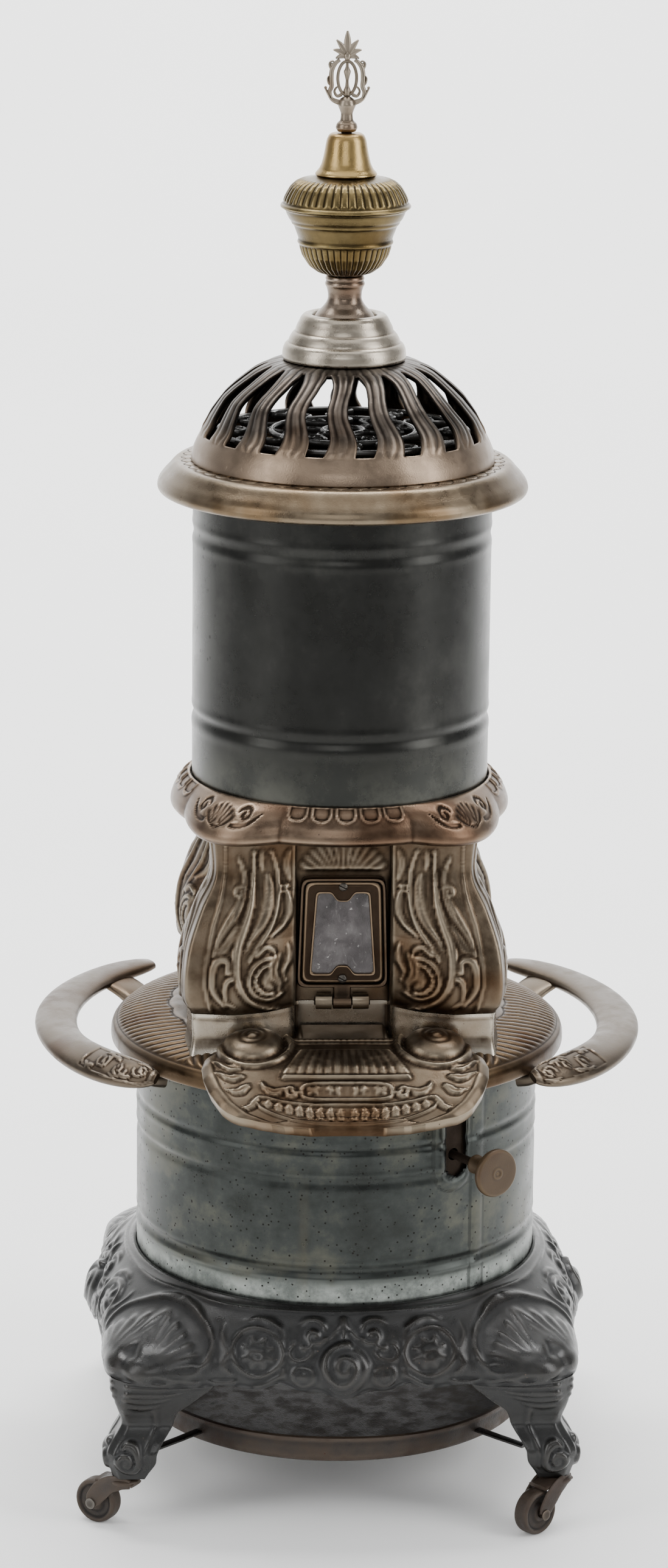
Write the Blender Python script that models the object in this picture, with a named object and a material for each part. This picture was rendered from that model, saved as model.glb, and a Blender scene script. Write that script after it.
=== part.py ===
"""Antique round kerosene heater on casters, modelled as separate pieces.

Metres, +Z up, front with the mica door towards -Y, +X to the right seen from the front.
The origin is on the floor, on the axis of the drum. Sizes below are in millimetres.
"""

import math

import bmesh
import bpy
from mathutils import Matrix, Vector

MM = 0.001
GAP = 0.35  # clearance between pieces that touch, mm
WIDE_STEPS = 30  # sides of the wide round pieces, which nest in one another

# Driving dimensions, mm.
TOP_Z = 1026.0
DRUM_R = 104.3
DRUM_WALL = 1.2
DRUM_BOTTOM_Z = 504.6
DRUM_TOP_Z = 708.0
FLUE_LEDGE_Z = 486.0  # inside the waist ring, where the inner flue's flange rests
TANK_R = 143.0
TANK_BOTTOM_Z = 150.0
TANK_TOP_Z = 327.0
RING_TOP_Z = 731.0
CASING_TOP_Z = 481.6
CASING_BOTTOM_Z = 361.3
PLINTH_BOTTOM_Z = 338.4
DECK_R = 161.0
RAIL_R = 214.5
FRONT_Y = -189.6
SKIRT_HALF = 166.0
SKIRT_BOTTOM_Z = 109.5
SKIRT_TOP_Z = 161.0
LEG_FOOT_Z = 38.6
CASTER_XY = 151.5
CASTER_TRAIL = 22.0
WHEEL_R = 16.0
PAN_R = 140.0
BAY_HALF = 33.0
BAY_WALL = 74.0
SLOT_COUNT = 18
KNOB_AZIMUTH = math.radians(33.5)
KNOB_R = 17.0
SHAFT_Z = 262.0
PINION_R = 6.0
PINION_TEETH = 10
DOME_HINGE = (112.0, 737.0)  # y, z
DOOR_HINGE = (-79.0, 361.0)  # y, z

# Colour, metallic, roughness of each finish.
FINISHES = {
    "nickel_worn": ((0.42, 0.37, 0.31), 1.0, 0.38),
    "nickel_bright": ((0.62, 0.59, 0.54), 1.0, 0.28),
    "nickel_dark": ((0.19, 0.17, 0.15), 0.9, 0.42),
    "brass_aged": ((0.36, 0.29, 0.15), 1.0, 0.35),
    "blued_steel": ((0.06, 0.065, 0.065), 0.7, 0.38),
    "galvanised_steel": ((0.25, 0.29, 0.30), 0.8, 0.42),
    "black_iron": ((0.035, 0.035, 0.036), 0.3, 0.38),
    "rusty_iron": ((0.13, 0.09, 0.07), 0.4, 0.7),
    "mica": ((0.42, 0.42, 0.42), 0.0, 0.3),
    "tank_brass": ((0.45, 0.34, 0.16), 1.0, 0.4),
    "copper_knob": ((0.30, 0.17, 0.10), 0.6, 0.45),
    "steel_plain": ((0.35, 0.35, 0.35), 1.0, 0.4),
    "wick_cotton": ((0.55, 0.50, 0.40), 0.0, 0.9),
}


def clear_scene():
    for obj in list(bpy.data.objects):
        bpy.data.objects.remove(obj)


def material(finish):
    found = bpy.data.materials.get(finish)
    if found:
        return found
    colour, metallic, roughness = FINISHES[finish]
    made = bpy.data.materials.new(finish)
    made.use_nodes = True
    shader = made.node_tree.nodes["Principled BSDF"]
    shader.inputs["Base Color"].default_value = (*colour, 1.0)
    shader.inputs["Metallic"].default_value = metallic
    shader.inputs["Roughness"].default_value = roughness
    return made


def add_object(name, mesh, finish):
    obj = bpy.data.objects.new(name, mesh)
    if finish:
        mesh.materials.append(material(finish))
    bpy.context.collection.objects.link(obj)
    return obj


def loft(name, rings, finish, closed=False):
    """A closed body through rings of points (mm), each ring with the same count of points.

    closed joins the last ring to the first; otherwise the two end rings are capped.
    """
    bm = bmesh.new()
    rows = [[bm.verts.new(Vector(p) * MM) for p in ring] for ring in rings]
    pairs = list(zip(rows, rows[1:]))
    if closed:
        pairs.append((rows[-1], rows[0]))
    else:
        bm.faces.new(rows[0])
        bm.faces.new(rows[-1])
    for low, high in pairs:
        for i in range(len(low)):
            j = (i + 1) % len(low)
            bm.faces.new((low[i], low[j], high[j], high[i]))
    bmesh.ops.recalc_face_normals(bm, faces=bm.faces)
    mesh = bpy.data.meshes.new(name)
    bm.to_mesh(mesh)
    bm.free()
    mesh.shade_smooth()
    mesh.set_sharp_from_angle(angle=math.radians(38))
    return add_object(name, mesh, finish)


def circle(radius, z, steps, start=0.0):
    angles = [start + 2 * math.pi * i / steps for i in range(steps)]
    return [(radius * math.cos(a), radius * math.sin(a), z) for a in angles]


def turned(name, outline, finish, steps=18, closed=True):
    """A piece turned about Z. outline is (radius, z); closed means that it is the ring's own section."""
    return loft(name, [circle(r, z, steps) for r, z in outline], finish, closed)


def prism(name, outline, low, high, along, finish=None):
    """An outline extruded from low to high along x, y or z. Its points are the other two axes in order."""
    place = {
        "x": lambda a, b, c: (c, a, b),
        "y": lambda a, b, c: (a, c, b),
        "z": lambda a, b, c: (a, b, c),
    }[along]
    return loft(name, [[place(a, b, c) for a, b in outline] for c in (low, high)], finish)


def box(name, low, high, finish=None):
    outline = [(low[0], low[1]), (high[0], low[1]), (high[0], high[1]), (low[0], high[1])]
    return prism(name, outline, low[2], high[2], "z", finish)


def rod(name, radius, low, high, along, centre=(0.0, 0.0), finish=None, steps=16):
    outline = [(centre[0] + x, centre[1] + y) for x, y, _ in circle(radius, 0.0, steps)]
    return prism(name, outline, low, high, along, finish)


def combine(obj, other, operation):
    """Keeps other as a hidden helper and joins it to obj, or cuts it from obj."""
    other.hide_render = True
    other.display_type = "WIRE"
    modifier = obj.modifiers.new(other.name, "BOOLEAN")
    modifier.operation = operation
    modifier.object = other
    modifier.solver = "EXACT"
    return obj


def cut(obj, *others):
    for other in others:
        combine(obj, other, "DIFFERENCE")
    return obj


def join(obj, *others):
    for other in others:
        combine(obj, other, "UNION")
    return obj


def turn_to(obj, azimuth):
    """Turns a piece that was modelled along -Y so that it points azimuth round towards +X."""
    obj.data.transform(Matrix.Rotation(azimuth, 4, "Z"))
    return obj


def empty(name, place, angle=0.0, parent=None):
    made = bpy.data.objects.new(name, None)
    bpy.context.collection.objects.link(made)
    made.location = Vector(place) * MM
    made.rotation_euler.z = angle
    made.parent = parent
    return made


def hang_on(pivot, *pieces):
    """Parents pieces that are already in place to a pivot that has no turn of its own."""
    for piece in pieces:
        piece.parent = pivot
        piece.matrix_parent_inverse = Matrix.Translation(pivot.location).inverted()


# ---- the urn and the spire, clamped to the dome by one rod ----

ROD_R = 3.4
BORE_R = 4.0


def finial_spire():
    half = [
        (2.6, 968.0), (5.4, 974.0), (8.4, 977.5), (14.9, 987.0), (11.8, 991.0), (11.2, 998.0),
        (10.4, 1004.0), (8.9, 1007.0), (5.0, 1013.0), (2.6, 1020.0), (0.6, TOP_Z),
    ]
    outline = half + [(-x, z) for x, z in reversed(half)]
    plate = prism("finial_spire", outline, -2.0, 2.0, "y", "nickel_worn")
    base = turned(
        "spire_base",
        [(4.2, 972.0), (6.9, 964.5), (7.5, 960.7), (5.5, 957.9), (BORE_R, 957.9), (BORE_R, 966.0),
         (0.4, 967.0), (0.4, 972.0)],
        None, 20,
    )
    holes = []
    for side in (-1, 1):
        hole = [(side * 5.6 + 2.6 * math.cos(a), 995.0 + 8.0 * math.sin(a)) for a in
                (2 * math.pi * i / 12 for i in range(12))]
        holes.append(prism("spire_hole", hole, -5.0, 5.0, "y"))
    join(plate, base)
    return cut(plate, *holes)


def urn_pieces():
    bell = turned(
        "urn_bell",
        [(10.0, 957.5), (12.0, 956.0), (13.2, 951.0), (15.4, 937.0), (19.8, 931.0), (20.5, 928.4),
         (BORE_R, 928.4), (BORE_R, 957.5)],
        "brass_aged",
    )
    lid = turned(
        "urn_lid",
        [(20.0, 928.0), (27.3, 927.0), (34.6, 924.0), (40.0, 917.0), (42.8, 911.0), (44.2, 907.6),
         (41.0, 907.6), (39.6, 911.5), (36.8, 916.5), (32.0, 921.5), (20.0, 925.0), (BORE_R, 925.0),
         (BORE_R, 928.0)],
        "brass_aged",
    )
    bowl = turned(
        "urn_bowl",
        [(44.2, 907.2), (41.7, 903.5), (37.2, 897.0), (34.9, 891.0), (32.0, 883.0), (29.3, 874.0),
         (24.7, 867.0), (13.8, 860.0), (BORE_R, 860.0), (BORE_R, 862.5), (13.0, 863.0), (22.5, 869.0),
         (26.6, 876.0), (29.4, 884.0), (33.4, 896.0), (40.2, 907.2)],
        "brass_aged",
    )
    stem = turned(
        "urn_stem",
        [(12.4, 859.6), (13.6, 857.0), (13.6, 853.0), (11.8, 848.0), (11.7, 843.0), (13.2, 839.5),
         (17.5, 835.5), (19.8, 831.5), (19.8, 829.4), (BORE_R, 829.4), (BORE_R, 859.6)],
        "nickel_bright",
    )
    collar = turned(
        "urn_collar",
        [(28.1, 833.0), (31.9, 826.6), (35.7, 820.0), (40.3, 813.0), (42.5, 806.0), (42.5, 801.4),
         (38.5, 801.4), (38.0, 807.0), (32.0, 817.0), (26.0, 824.5), (BORE_R, 824.5), (BORE_R, 829.0),
         (20.4, 829.0), (21.4, 833.0)],
        "nickel_bright",
    )
    tie_rod = rod("tie_rod", ROD_R, 788.0, 965.5, "z", finish="steel_plain")
    nut = cut(
        rod("tie_rod_nut", 8.0, 792.0, 797.6, "z", finish="steel_plain", steps=6),
        rod("nut_bore", ROD_R + 0.3, 780.0, 810.0, "z"),
    )
    return [bell, lid, bowl, stem, collar, tie_rod, nut]


# ---- pierced dome on its rear hinge ----

def dome_grille():
    outer = [(105.5, 731.4), (104.0, 739.5), (95.6, 756.0), (83.0, 775.0), (66.0, 790.6),
             (46.0, 801.0)]
    wall = 3.0
    inner = [(r - wall, z - wall * (z - 731.4) / 70.0) for r, z in outer]
    section = outer + [(BORE_R, 801.0), (BORE_R, 798.0)] + inner[::-1]
    dome = turned("dome_grille", section, "nickel_dark", WIDE_STEPS)
    cutters = []
    for i in range(SLOT_COUNT):
        slot = prism(
            "dome_slot",
            [(-6.2, -112.0), (6.2, -112.0), (6.2, -97.0), (2.8, -50.0), (-2.8, -50.0), (-6.2, -97.0)],
            744.0, 806.0, "z",
        )
        cutters.append(turn_to(slot, math.radians(6 + 20 * i)))
    cut(dome, *cutters)
    y, z = DOME_HINGE
    eye = [(y + 4.2 * math.cos(a), z + 4.2 * math.sin(a)) for a in
           (math.radians(-60 + 30 * i) for i in range(6))]
    lug = prism("dome_lug", [(y - 8.5, z - 3.2)] + eye + [(y - 8.5, z + 3.4)], -8.0, 8.0, "x")
    join(dome, lug)
    return cut(dome, rod("dome_lug_bore", 2.0, -12.0, 12.0, "x", DOME_HINGE, steps=12))


def dome_hinge_pin():
    return rod("dome_hinge_pin", 1.6, -16.0, 16.0, "x", DOME_HINGE, "steel_plain", 12)


def top_ring():
    ring = turned(
        "top_ring",
        [(115.8, RING_TOP_Z), (123.0, 724.5), (127.2, 717.5), (128.9, 712.6), (127.4, 709.4),
         (118.0, 708.0), (108.0, 706.4), (DRUM_R + 0.5, 706.0), (DRUM_R + 0.5, DRUM_TOP_Z + GAP),
         (94.0, DRUM_TOP_Z + GAP), (92.0, 727.0), (99.8, 727.0), (99.8, RING_TOP_Z)],
        "nickel_worn", WIDE_STEPS,
    )
    y, z = DOME_HINGE
    for side in (-1, 1):
        low, high = sorted((side * 8.6, side * 15.0))
        eye = [(y + 4.4 * math.cos(a), z + 4.4 * math.sin(a)) for a in
               (math.radians(45 * i) for i in range(5))]
        ear = prism("ring_ear", [(y + 4.4, 725.0)] + eye + [(y - 4.4, 725.0)], low, high, "x")
        join(ring, ear)
    return cut(ring, rod("ring_ear_bore", 2.0, -18.0, 18.0, "x", DOME_HINGE, steps=12))


def cooking_trivet():
    top, bottom = 753.0, 748.0
    ring = turned("cooking_trivet", [(88.0, top), (88.0, bottom), (81.0, bottom), (81.0, top)], "black_iron")
    middle = turned("trivet_middle", [(52.0, top), (52.0, bottom), (45.0, bottom), (45.0, top)], None, 24)
    hub = rod("trivet_hub", 14.0, bottom, top, "z", steps=12)
    join(ring, middle, hub)
    for i in range(3):
        join(ring, turn_to(box("trivet_bar", (-3.0, -84.0, bottom + 0.4), (3.0, 84.0, top - 0.4)),
                           math.radians(60 * i)))
    for i in range(4):
        leg = prism("trivet_leg", [(-84.0, 752.6), (-87.0, 752.6), (-89.0, 735.0), (-97.0, 731.0),
                                   (-97.0, 727.4), (-84.0, 727.4)], -5.0, 5.0, "x")
        join(ring, turn_to(leg, math.radians(45 + 90 * i)))
    return ring


# ---- drum, waist ring and burner casing ----

def beaded_tube(name, radius, low, high, beads, finish):
    """A sheet tube with rolled-in beads: each bead is a shallow groove on the wall."""
    outer = [(radius, high)]
    for z, depth in sorted(beads, reverse=True):
        outer += [(radius, z + 4.5), (radius - depth, z), (radius, z - 4.5)]
    outer.append((radius, low))
    section = outer + [(r - DRUM_WALL, z) for r, z in reversed(outer)]
    return turned(name, section, finish, WIDE_STEPS)


def upper_drum():
    beads = [(682.0, 0.9), (551.0, 1.3)]
    return beaded_tube("upper_drum", DRUM_R, DRUM_BOTTOM_Z, DRUM_TOP_Z, beads, "blued_steel")


def lobe(angle):
    """1 over each console, on the diagonals, falling smoothly to 0 over the bays."""
    return max(0.0, -math.cos(4 * angle)) ** 0.8


def waist_ring():
    rings = []
    steps = WIDE_STEPS
    profile = [(-16.0, 508.4, 0), (-6.0, 503.6, 1), (-1.0, 494.0, 1), (0.0, 487.5, 1), (-4.0, 482.2, 1)]
    for share, z, follows in profile:
        ring = []
        for i in range(steps):
            a = 2 * math.pi * i / steps
            radius = 106.6 if not follows else 119.5 + share + 11.0 * lobe(a)
            ring.append((radius * math.cos(a), radius * math.sin(a), z))
        rings.append(ring)
    inside = [(82.0, 482.2), (82.0, FLUE_LEDGE_Z), (90.0, FLUE_LEDGE_Z), (96.0, 504.2),
              (DRUM_R + 0.5, 504.2), (DRUM_R + 0.5, 508.4)]
    for radius, z in inside:
        rings.append(circle(radius, z, steps))
    return loft("waist_ring", rings, "nickel_worn", closed=True)


def console_plan(front, inset, z):
    """Plan of the casing at one height: four bays with a console between each two.

    front is how far each console stands out; inset thins the wall inwards.
    """
    edge = BAY_HALF + inset
    wall = BAY_WALL - inset
    stand = front - inset
    recede = 22.0 * min(1.0, max(0.0, (front - 84.0) / 26.0))
    side = [
        (edge, wall), (edge, max(wall + 0.5, stand - recede)), (52.0, stand - 0.35 * recede),
        (min(76.0, stand - 12.0), stand), (stand - 5.0, stand - 5.0),
    ]
    quarter = side + [(y, x) for x, y in reversed(side[:-1])]
    plan = []
    for turn in range(4):
        c, s = (1, 0, -1, 0)[turn], (0, 1, 0, -1)[turn]
        # The first quarter holds the console between +Y and +X; each next one is a quarter turn on.
        plan += [(x * c + y * s, -x * s + y * c, z) for x, y in quarter]
    return plan


def burner_casing():
    stations = [(CASING_BOTTOM_Z, 109.0), (370.0, 113.3), (388.0, 114.0), (410.0, 110.8), (434.0, 102.4),
                (455.0, 92.8), (CASING_TOP_Z, 93.6)]
    outer = [console_plan(front, 0.0, z) for z, front in stations]
    inner = [console_plan(front, 4.0, z) for z, front in stations]
    casing = loft("burner_casing", outer + inner[::-1], "nickel_worn", closed=True)
    opening = prism("door_opening", [(-22.0, 379.0), (22.0, 379.0), (19.0, 443.0), (-19.0, 443.0)],
                    -90.0, -60.0, "y")
    cut(casing, opening)
    for side in (-1, 1):
        low, high = sorted((side * 7.2, side * 18.0))
        lug = prism("hinge_lug", [(-72.0, 361.8), (-72.0, 367.0), (-80.5, 367.0), (-83.6, 363.5),
                                  (-83.6, 358.0), (-81.0, 356.4), (-75.0, 356.4), (-75.0, 361.8)],
                    low, high, "x")
        join(casing, lug)
    return cut(casing, rod("hinge_lug_bore", 2.0, -25.0, 25.0, "x", DOOR_HINGE, steps=12))


def casing_plinth():
    rings = [console_plan(109.0, 0.0, PLINTH_BOTTOM_Z), console_plan(108.0, 0.0, CASING_BOTTOM_Z - GAP),
             console_plan(108.0, 4.0, CASING_BOTTOM_Z - GAP), console_plan(109.0, 4.0, PLINTH_BOTTOM_Z)]
    return loft("casing_plinth", rings, "nickel_bright", closed=True)


def deck_plate():
    return turned(
        "deck_plate",
        [(62.0, 338.0), (100.0, 338.0), (131.0, 336.0), (148.0, 331.5), (158.0, 326.5), (DECK_R, 321.0),
         (DECK_R, 312.5), (157.6, 312.5), (157.6, 320.0), (146.0, 327.6), (130.0, 332.0), (62.0, 334.4)],
        "nickel_worn", WIDE_STEPS,
    )


# ---- apron and side rails ----

def front_apron():
    """Cross-sections from the bay to the lip, each a crowned strip that droops towards its ends."""
    thick = 5.5
    stations = [(-77.0, 32.0, 344.4), (-109.9, 32.4, 344.4), (-111.0, 66.0, 344.4), (-117.0, 84.0, 343.8),
                (-126.0, 94.0, 342.6), (-138.0, 98.0, 340.4), (-150.0, 98.0, 337.4), (-156.0, 96.4, 334.6),
                (-162.5, 93.4, 329.4), (-172.0, 86.4, 322.4), (-180.6, 75.0, 315.0), (-186.0, 60.0, 309.6),
                (FRONT_Y, 34.0, 305.6)]
    rings = []
    for y, half, z in stations:
        across = [half * s for s in (-1.0, -0.8, -0.4, 0.0, 0.4, 0.8, 1.0)]
        top = [(x, y, z - 1.5 * (x / 98.0) ** 2) for x in across]
        rings.append(top + [(x, y, z - thick) for x, _, z in reversed(top)])
    return loft("front_apron", rings, "nickel_worn")


def side_rail(name, side):
    """A crowned band on an arc about the drum, on two struts that run in under the deck's rim."""
    rings = []
    steps = 22
    reach = 47.0
    for i in range(steps + 1):
        degrees = -reach + 2 * reach * i / steps
        a = math.radians(degrees)
        end = math.sqrt(max(0.0, 1 - (abs(degrees) / (reach + 0.6)) ** 8))
        middle = 200.5 - 4.0 * (abs(degrees) / reach) ** 4
        half = 14.0 * max(0.25, end)
        section = [(-half, 317.0), (half, 317.0), (half, 323.0), (0.45 * half, 329.0), (-0.45 * half, 330.0),
                   (-half, 325.0)]
        rings.append([((middle + u) * math.cos(a) * side, (middle + u) * math.sin(a), z) for u, z in section])
    rail = loft(name, rings, "nickel_worn")
    for tilt in (-33, 33):
        strut = prism("rail_strut", [(148.0, 311.8), (164.0, 311.8), (190.0, 327.0), (193.0, 318.0),
                                     (166.0, 300.0), (148.0, 300.0)], -8.0, 8.0, "y")
        strut.matrix_world = Matrix.Rotation(math.radians(tilt if side > 0 else 180 - tilt), 4, "Z")
        join(rail, strut)
    return rail


# ---- mica door ----

def door_outline(grow):
    """The door's tapered outline with cut corners; grow moves every side outwards."""
    top, bottom = 29.6, 32.0
    low, high = 372.0, 451.4
    corner = 4.0
    right = [(bottom + grow - corner, low - grow), (bottom + grow, low - grow + corner),
             (top + grow, high + grow - corner), (top + grow - corner, high + grow)]
    return right + [(-x, z) for x, z in reversed(right)]


def window_outline(grow):
    right = [(21.8 + grow, 382.0 - grow), (17.6 + grow, 440.0 + grow)]
    return right + [(-x, z) for x, z in reversed(right)]


SCREW_Z = (378.5, 444.9)


def mica_door():
    frame = prism("door_frame", door_outline(0.0), -80.2, -74.5, "y", "nickel_dark")
    y, z = DOOR_HINGE
    knuckle = [(y + 4.3 * math.cos(a), z + 4.3 * math.sin(a)) for a in
               (math.radians(180 + 30 * i) for i in range(7))]
    join(frame, prism("door_knuckle", knuckle + [(y + 4.2, 374.0), (y - 1.0, 374.0)], -6.6, 6.6, "x"))
    cut(
        frame,
        prism("door_pocket", door_outline(-2.8), -85.0, -77.0, "y"),
        prism("door_window", window_outline(1.0), -90.0, -70.0, "y"),
        rod("door_bore", 2.0, -12.0, 12.0, "x", DOOR_HINGE, steps=12),
    )
    pane = prism("mica_pane", window_outline(2.0), -77.8, -77.3, "y", "mica")
    retainer = prism("pane_retainer", door_outline(-3.4), -79.3, -78.1, "y", "nickel_dark")
    cut(retainer, prism("retainer_window", window_outline(0.0), -90.0, -70.0, "y"))
    screws = []
    for end, height in zip(("lower", "upper"), SCREW_Z):
        hole = rod("screw_hole", 1.5, -85.0, -75.4, "y", (0.0, height), steps=10)
        cut(frame, hole)
        cut(retainer, hole)
        head = turned("retainer_screw_" + end,
                      [(1.6, -81.4), (3.0, -80.6), (3.2, -79.7), (1.2, -79.7), (1.2, -75.8)],
                      "steel_plain", 12, closed=False)
        upright = Matrix.Rotation(-math.pi / 2, 4, "X")
        head.matrix_world = Matrix.Translation((0.0, 0.0, height * MM)) @ upright
        screws.append(head)
    pin = rod("door_hinge_pin", 1.6, -19.5, 19.5, "x", DOOR_HINGE, "steel_plain", 12)
    return [frame, pane, retainer, *screws], pin


# ---- tank casing and what is inside ----

def radial(azimuth, along, across, z):
    """A point along mm out and across mm sideways from the axis, at an azimuth round from -Y."""
    s, c = math.sin(azimuth), math.cos(azimuth)
    return (along * s + across * c, -along * c + across * s, z)


def tank_casing():
    casing = beaded_tube("tank_casing", TANK_R, TANK_BOTTOM_Z, TANK_TOP_Z,
                         [(271.0, 0.8), (250.0, 1.3), (183.0, 1.3)], "galvanised_steel")
    slot = [(-9.0, TANK_TOP_Z + 5.0), (9.0, TANK_TOP_Z + 5.0)]
    slot += [(9.0 * math.cos(a), 256.0 - 9.0 * math.sin(a)) for a in (math.pi * i / 8 for i in range(9))]
    return cut(casing, turn_to(prism("shaft_slot", slot, -150.0, -120.0, "y"), KNOB_AZIMUTH))


def slot_cover():
    """A curved plate just inside the casing, which closes its slot round the shaft."""
    rings = []
    for i in range(9):
        a = KNOB_AZIMUTH + math.radians(-8 + 2 * i)
        rings.append([radial(a, r, 0.0, z) for r, z in ((138.6, 236.0), (139.6, 236.0), (139.6, 322.0),
                                                         (138.6, 322.0))])
    cover = loft("slot_cover", rings, "galvanised_steel")
    return cut(cover, turn_to(rod("cover_hole", 4.4, -150.0, -120.0, "y", (0.0, SHAFT_Z)), KNOB_AZIMUTH))


FILLER = (0.0, 78.0)  # x, y
TANK_LID_Z = 222.0


def oil_tank():
    tank = turned("oil_tank", [(126.0, 219.0), (126.0, 166.0), (122.0, 162.0), (31.6, 162.0),
                               (31.6, TANK_LID_Z), (122.0, TANK_LID_Z)], "tank_brass")
    hollow = turned("tank_hollow", [(124.0, 218.0), (124.0, 168.0), (33.6, 164.0), (33.6, 220.0)], None)
    neck = rod("tank_neck", 14.0, 221.0, 229.0, "z", FILLER)
    mouth = rod("tank_mouth", 10.0, 210.0, 240.0, "z", FILLER)
    join(tank, neck)
    return cut(tank, hollow, mouth)


def filler_cap():
    cap = turned("filler_cap", [(9.4, 224.0), (9.4, 229.4), (16.0, 229.4), (16.0, 236.0), (14.0, 238.0)],
                 "tank_brass", 16, closed=False)
    cap.location = (FILLER[0] * MM, FILLER[1] * MM, 0.0)
    return cap


def tube(name, outer, wall, low, high, finish, steps=18):
    section = [(outer, high), (outer, low), (outer - wall, low), (outer - wall, high)]
    return turned(name, section, finish, steps)


def burner_pieces():
    draft = tube("draft_tube", 31.2, 1.2, 158.0, 346.0, "tank_brass")
    outer = tube("wick_tube", 38.7, 1.2, TANK_LID_Z + GAP, 346.0, "tank_brass")
    slot = prism("wick_tube_slot", [(3.6, 252.0), (11.0, 252.0), (11.0, 300.0), (3.6, 300.0)],
                 -42.0, -30.0, "y")
    cut(outer, turn_to(slot, KNOB_AZIMUTH))
    gallery = turned("burner_gallery", [(68.0, 341.0), (68.0, 338.4), (41.2, 338.4), (41.2, 328.0),
                                        (39.4, 328.0), (39.4, 341.0)], "steel_plain")
    flange_z = FLUE_LEDGE_Z + GAP
    flue = turned("inner_flue", [(66.0, 640.0), (66.0, flange_z + 1.2), (88.6, flange_z + 1.2),
                                 (88.6, flange_z), (64.8, flange_z), (64.8, 640.0)], "steel_plain")
    spreader = turned("flame_spreader", [(4.0, 300.0), (4.0, 358.0), (29.0, 361.0), (29.0, 364.0),
                                         (8.0, 368.0)], "steel_plain", 24, closed=False)
    bearing = box("shaft_bearing", (-8.0, -84.0, TANK_LID_Z + GAP), (8.0, -70.0, 270.0), "steel_plain")
    bore = rod("bearing_bore", 3.4, -90.0, -60.0, "y", (0.0, SHAFT_Z))
    cut(turn_to(bearing, KNOB_AZIMUTH), turn_to(bore, KNOB_AZIMUTH))
    return [draft, outer, gallery, flue, spreader, bearing]


def wick_pieces():
    wick = tube("wick", 36.6, 4.4, 258.0, 348.5, "wick_cotton")
    pitch = 2 * math.pi * PINION_R / PINION_TEETH
    near, far, back = 5.2, 7.3, 11.0
    teeth = []
    count = 11
    for i in range(count):
        z = SHAFT_Z + (i - 4 + 0.5) * pitch
        teeth += [(far, z - 0.32 * pitch), (near, z - 0.12 * pitch), (near, z + 0.12 * pitch),
                  (far, z + 0.32 * pitch)]
    low, high = SHAFT_Z - 4.0 * pitch, SHAFT_Z + (count - 4) * pitch
    outline = [(back, low), (far, low)] + teeth + [(far, high), (back, high)]
    rack = prism("wick_rack", outline, -46.5, -41.5, "y", "tank_brass")
    arm = box("rack_arm", (7.5, -42.5, 281.0), (10.4, -37.2, 287.0))
    join(turn_to(rack, KNOB_AZIMUTH), turn_to(arm, KNOB_AZIMUTH))
    return [wick, rack]


def shaft_pieces():
    shaft = rod("wick_shaft", 3.0, -187.0, -40.8, "y", (0.0, SHAFT_Z), "steel_plain")
    outline = []
    for i in range(PINION_TEETH):
        middle = 2 * math.pi * i / PINION_TEETH
        for offset, radius in ((-0.25, 4.9), (-0.11, 7.0), (0.11, 7.0), (0.25, 4.9)):
            a = middle + offset * 2 * math.pi / PINION_TEETH
            outline.append((radius * math.cos(a), SHAFT_Z + radius * math.sin(a)))
    pinion = prism("wick_pinion", outline, -46.5, -41.6, "y", "tank_brass")
    bore = rod("pinion_bore", 3.35, -60.0, -30.0, "y", (0.0, SHAFT_Z))
    cut(pinion, turn_to(bore, KNOB_AZIMUTH))
    knob = turned("wick_knob", [(15.6, 190.6), (KNOB_R, 189.4), (KNOB_R, 186.2), (15.6, 185.0), (7.6, 184.0),
                                (6.2, 176.0), (6.2, 164.0), (3.35, 164.0), (3.35, 187.6), (2.0, 190.0)],
                  "copper_knob")
    knob.data.transform(Matrix.Translation((0.0, 0.0, SHAFT_Z * MM)) @ Matrix.Rotation(math.pi / 2, 4, "X"))
    for piece in (shaft, pinion, knob):
        turn_to(piece, KNOB_AZIMUTH)
    return [shaft, pinion, knob]


# ---- base, legs, pan and casters ----

def skirt_plan(half, power, z, drop=0.0, bulge=0.0, steps=40):
    """A squared circle |x|^power + |y|^power = half^power. The middle of each side bulges and hangs lower."""
    ring = []
    for i in range(steps):
        a = 2 * math.pi * i / steps
        c, s = math.cos(a), math.sin(a)
        radius = half / (abs(c) ** power + abs(s) ** power) ** (1 / power)
        off_middle = radius * min(abs(c), abs(s))
        low = z - drop * math.exp(-((off_middle / 22.0) ** 2))
        radius += bulge * math.exp(-((off_middle / 48.0) ** 2))
        ring.append((radius * c, radius * s, low))
    return ring


def base_skirt():
    wall = 5.0
    stations = [(146.5, 2.0, SKIRT_TOP_Z, 0.0, 0.0), (151.0, 2.1, 158.0, 0.0, 0.5), (156.5, 2.4, 151.0, 0.0, 1.5),
                (160.5, 2.9, 143.0, 0.0, 3.0), (163.0, 3.9, 135.0, 0.0, 5.5), (165.0, 6.0, 127.0, 0.0, 8.5),
                (SKIRT_HALF, 9.0, 118.0, 0.0, 10.0), (SKIRT_HALF - 0.5, 10.0, SKIRT_BOTTOM_Z, 5.5, 10.0)]
    outer = [skirt_plan(*station) for station in stations]
    lip = skirt_plan(TANK_R + 0.6, 2.0, SKIRT_TOP_Z)
    under = skirt_plan(TANK_R + 0.6, 2.0, 156.0)
    shelf = skirt_plan(136.0, 2.0, TANK_BOTTOM_Z - 0.4)
    shelf_under = skirt_plan(136.0, 2.0, 145.0)
    seat = skirt_plan(TANK_R + 0.6, 2.0, TANK_BOTTOM_Z - 0.4)
    inner = [skirt_plan(half - wall, *rest) for half, *rest in stations[4:]]
    rings = [lip] + outer + inner[::-1] + [shelf_under, shelf, seat, under]
    return loft("base_skirt", rings, "black_iron", closed=True)


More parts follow.
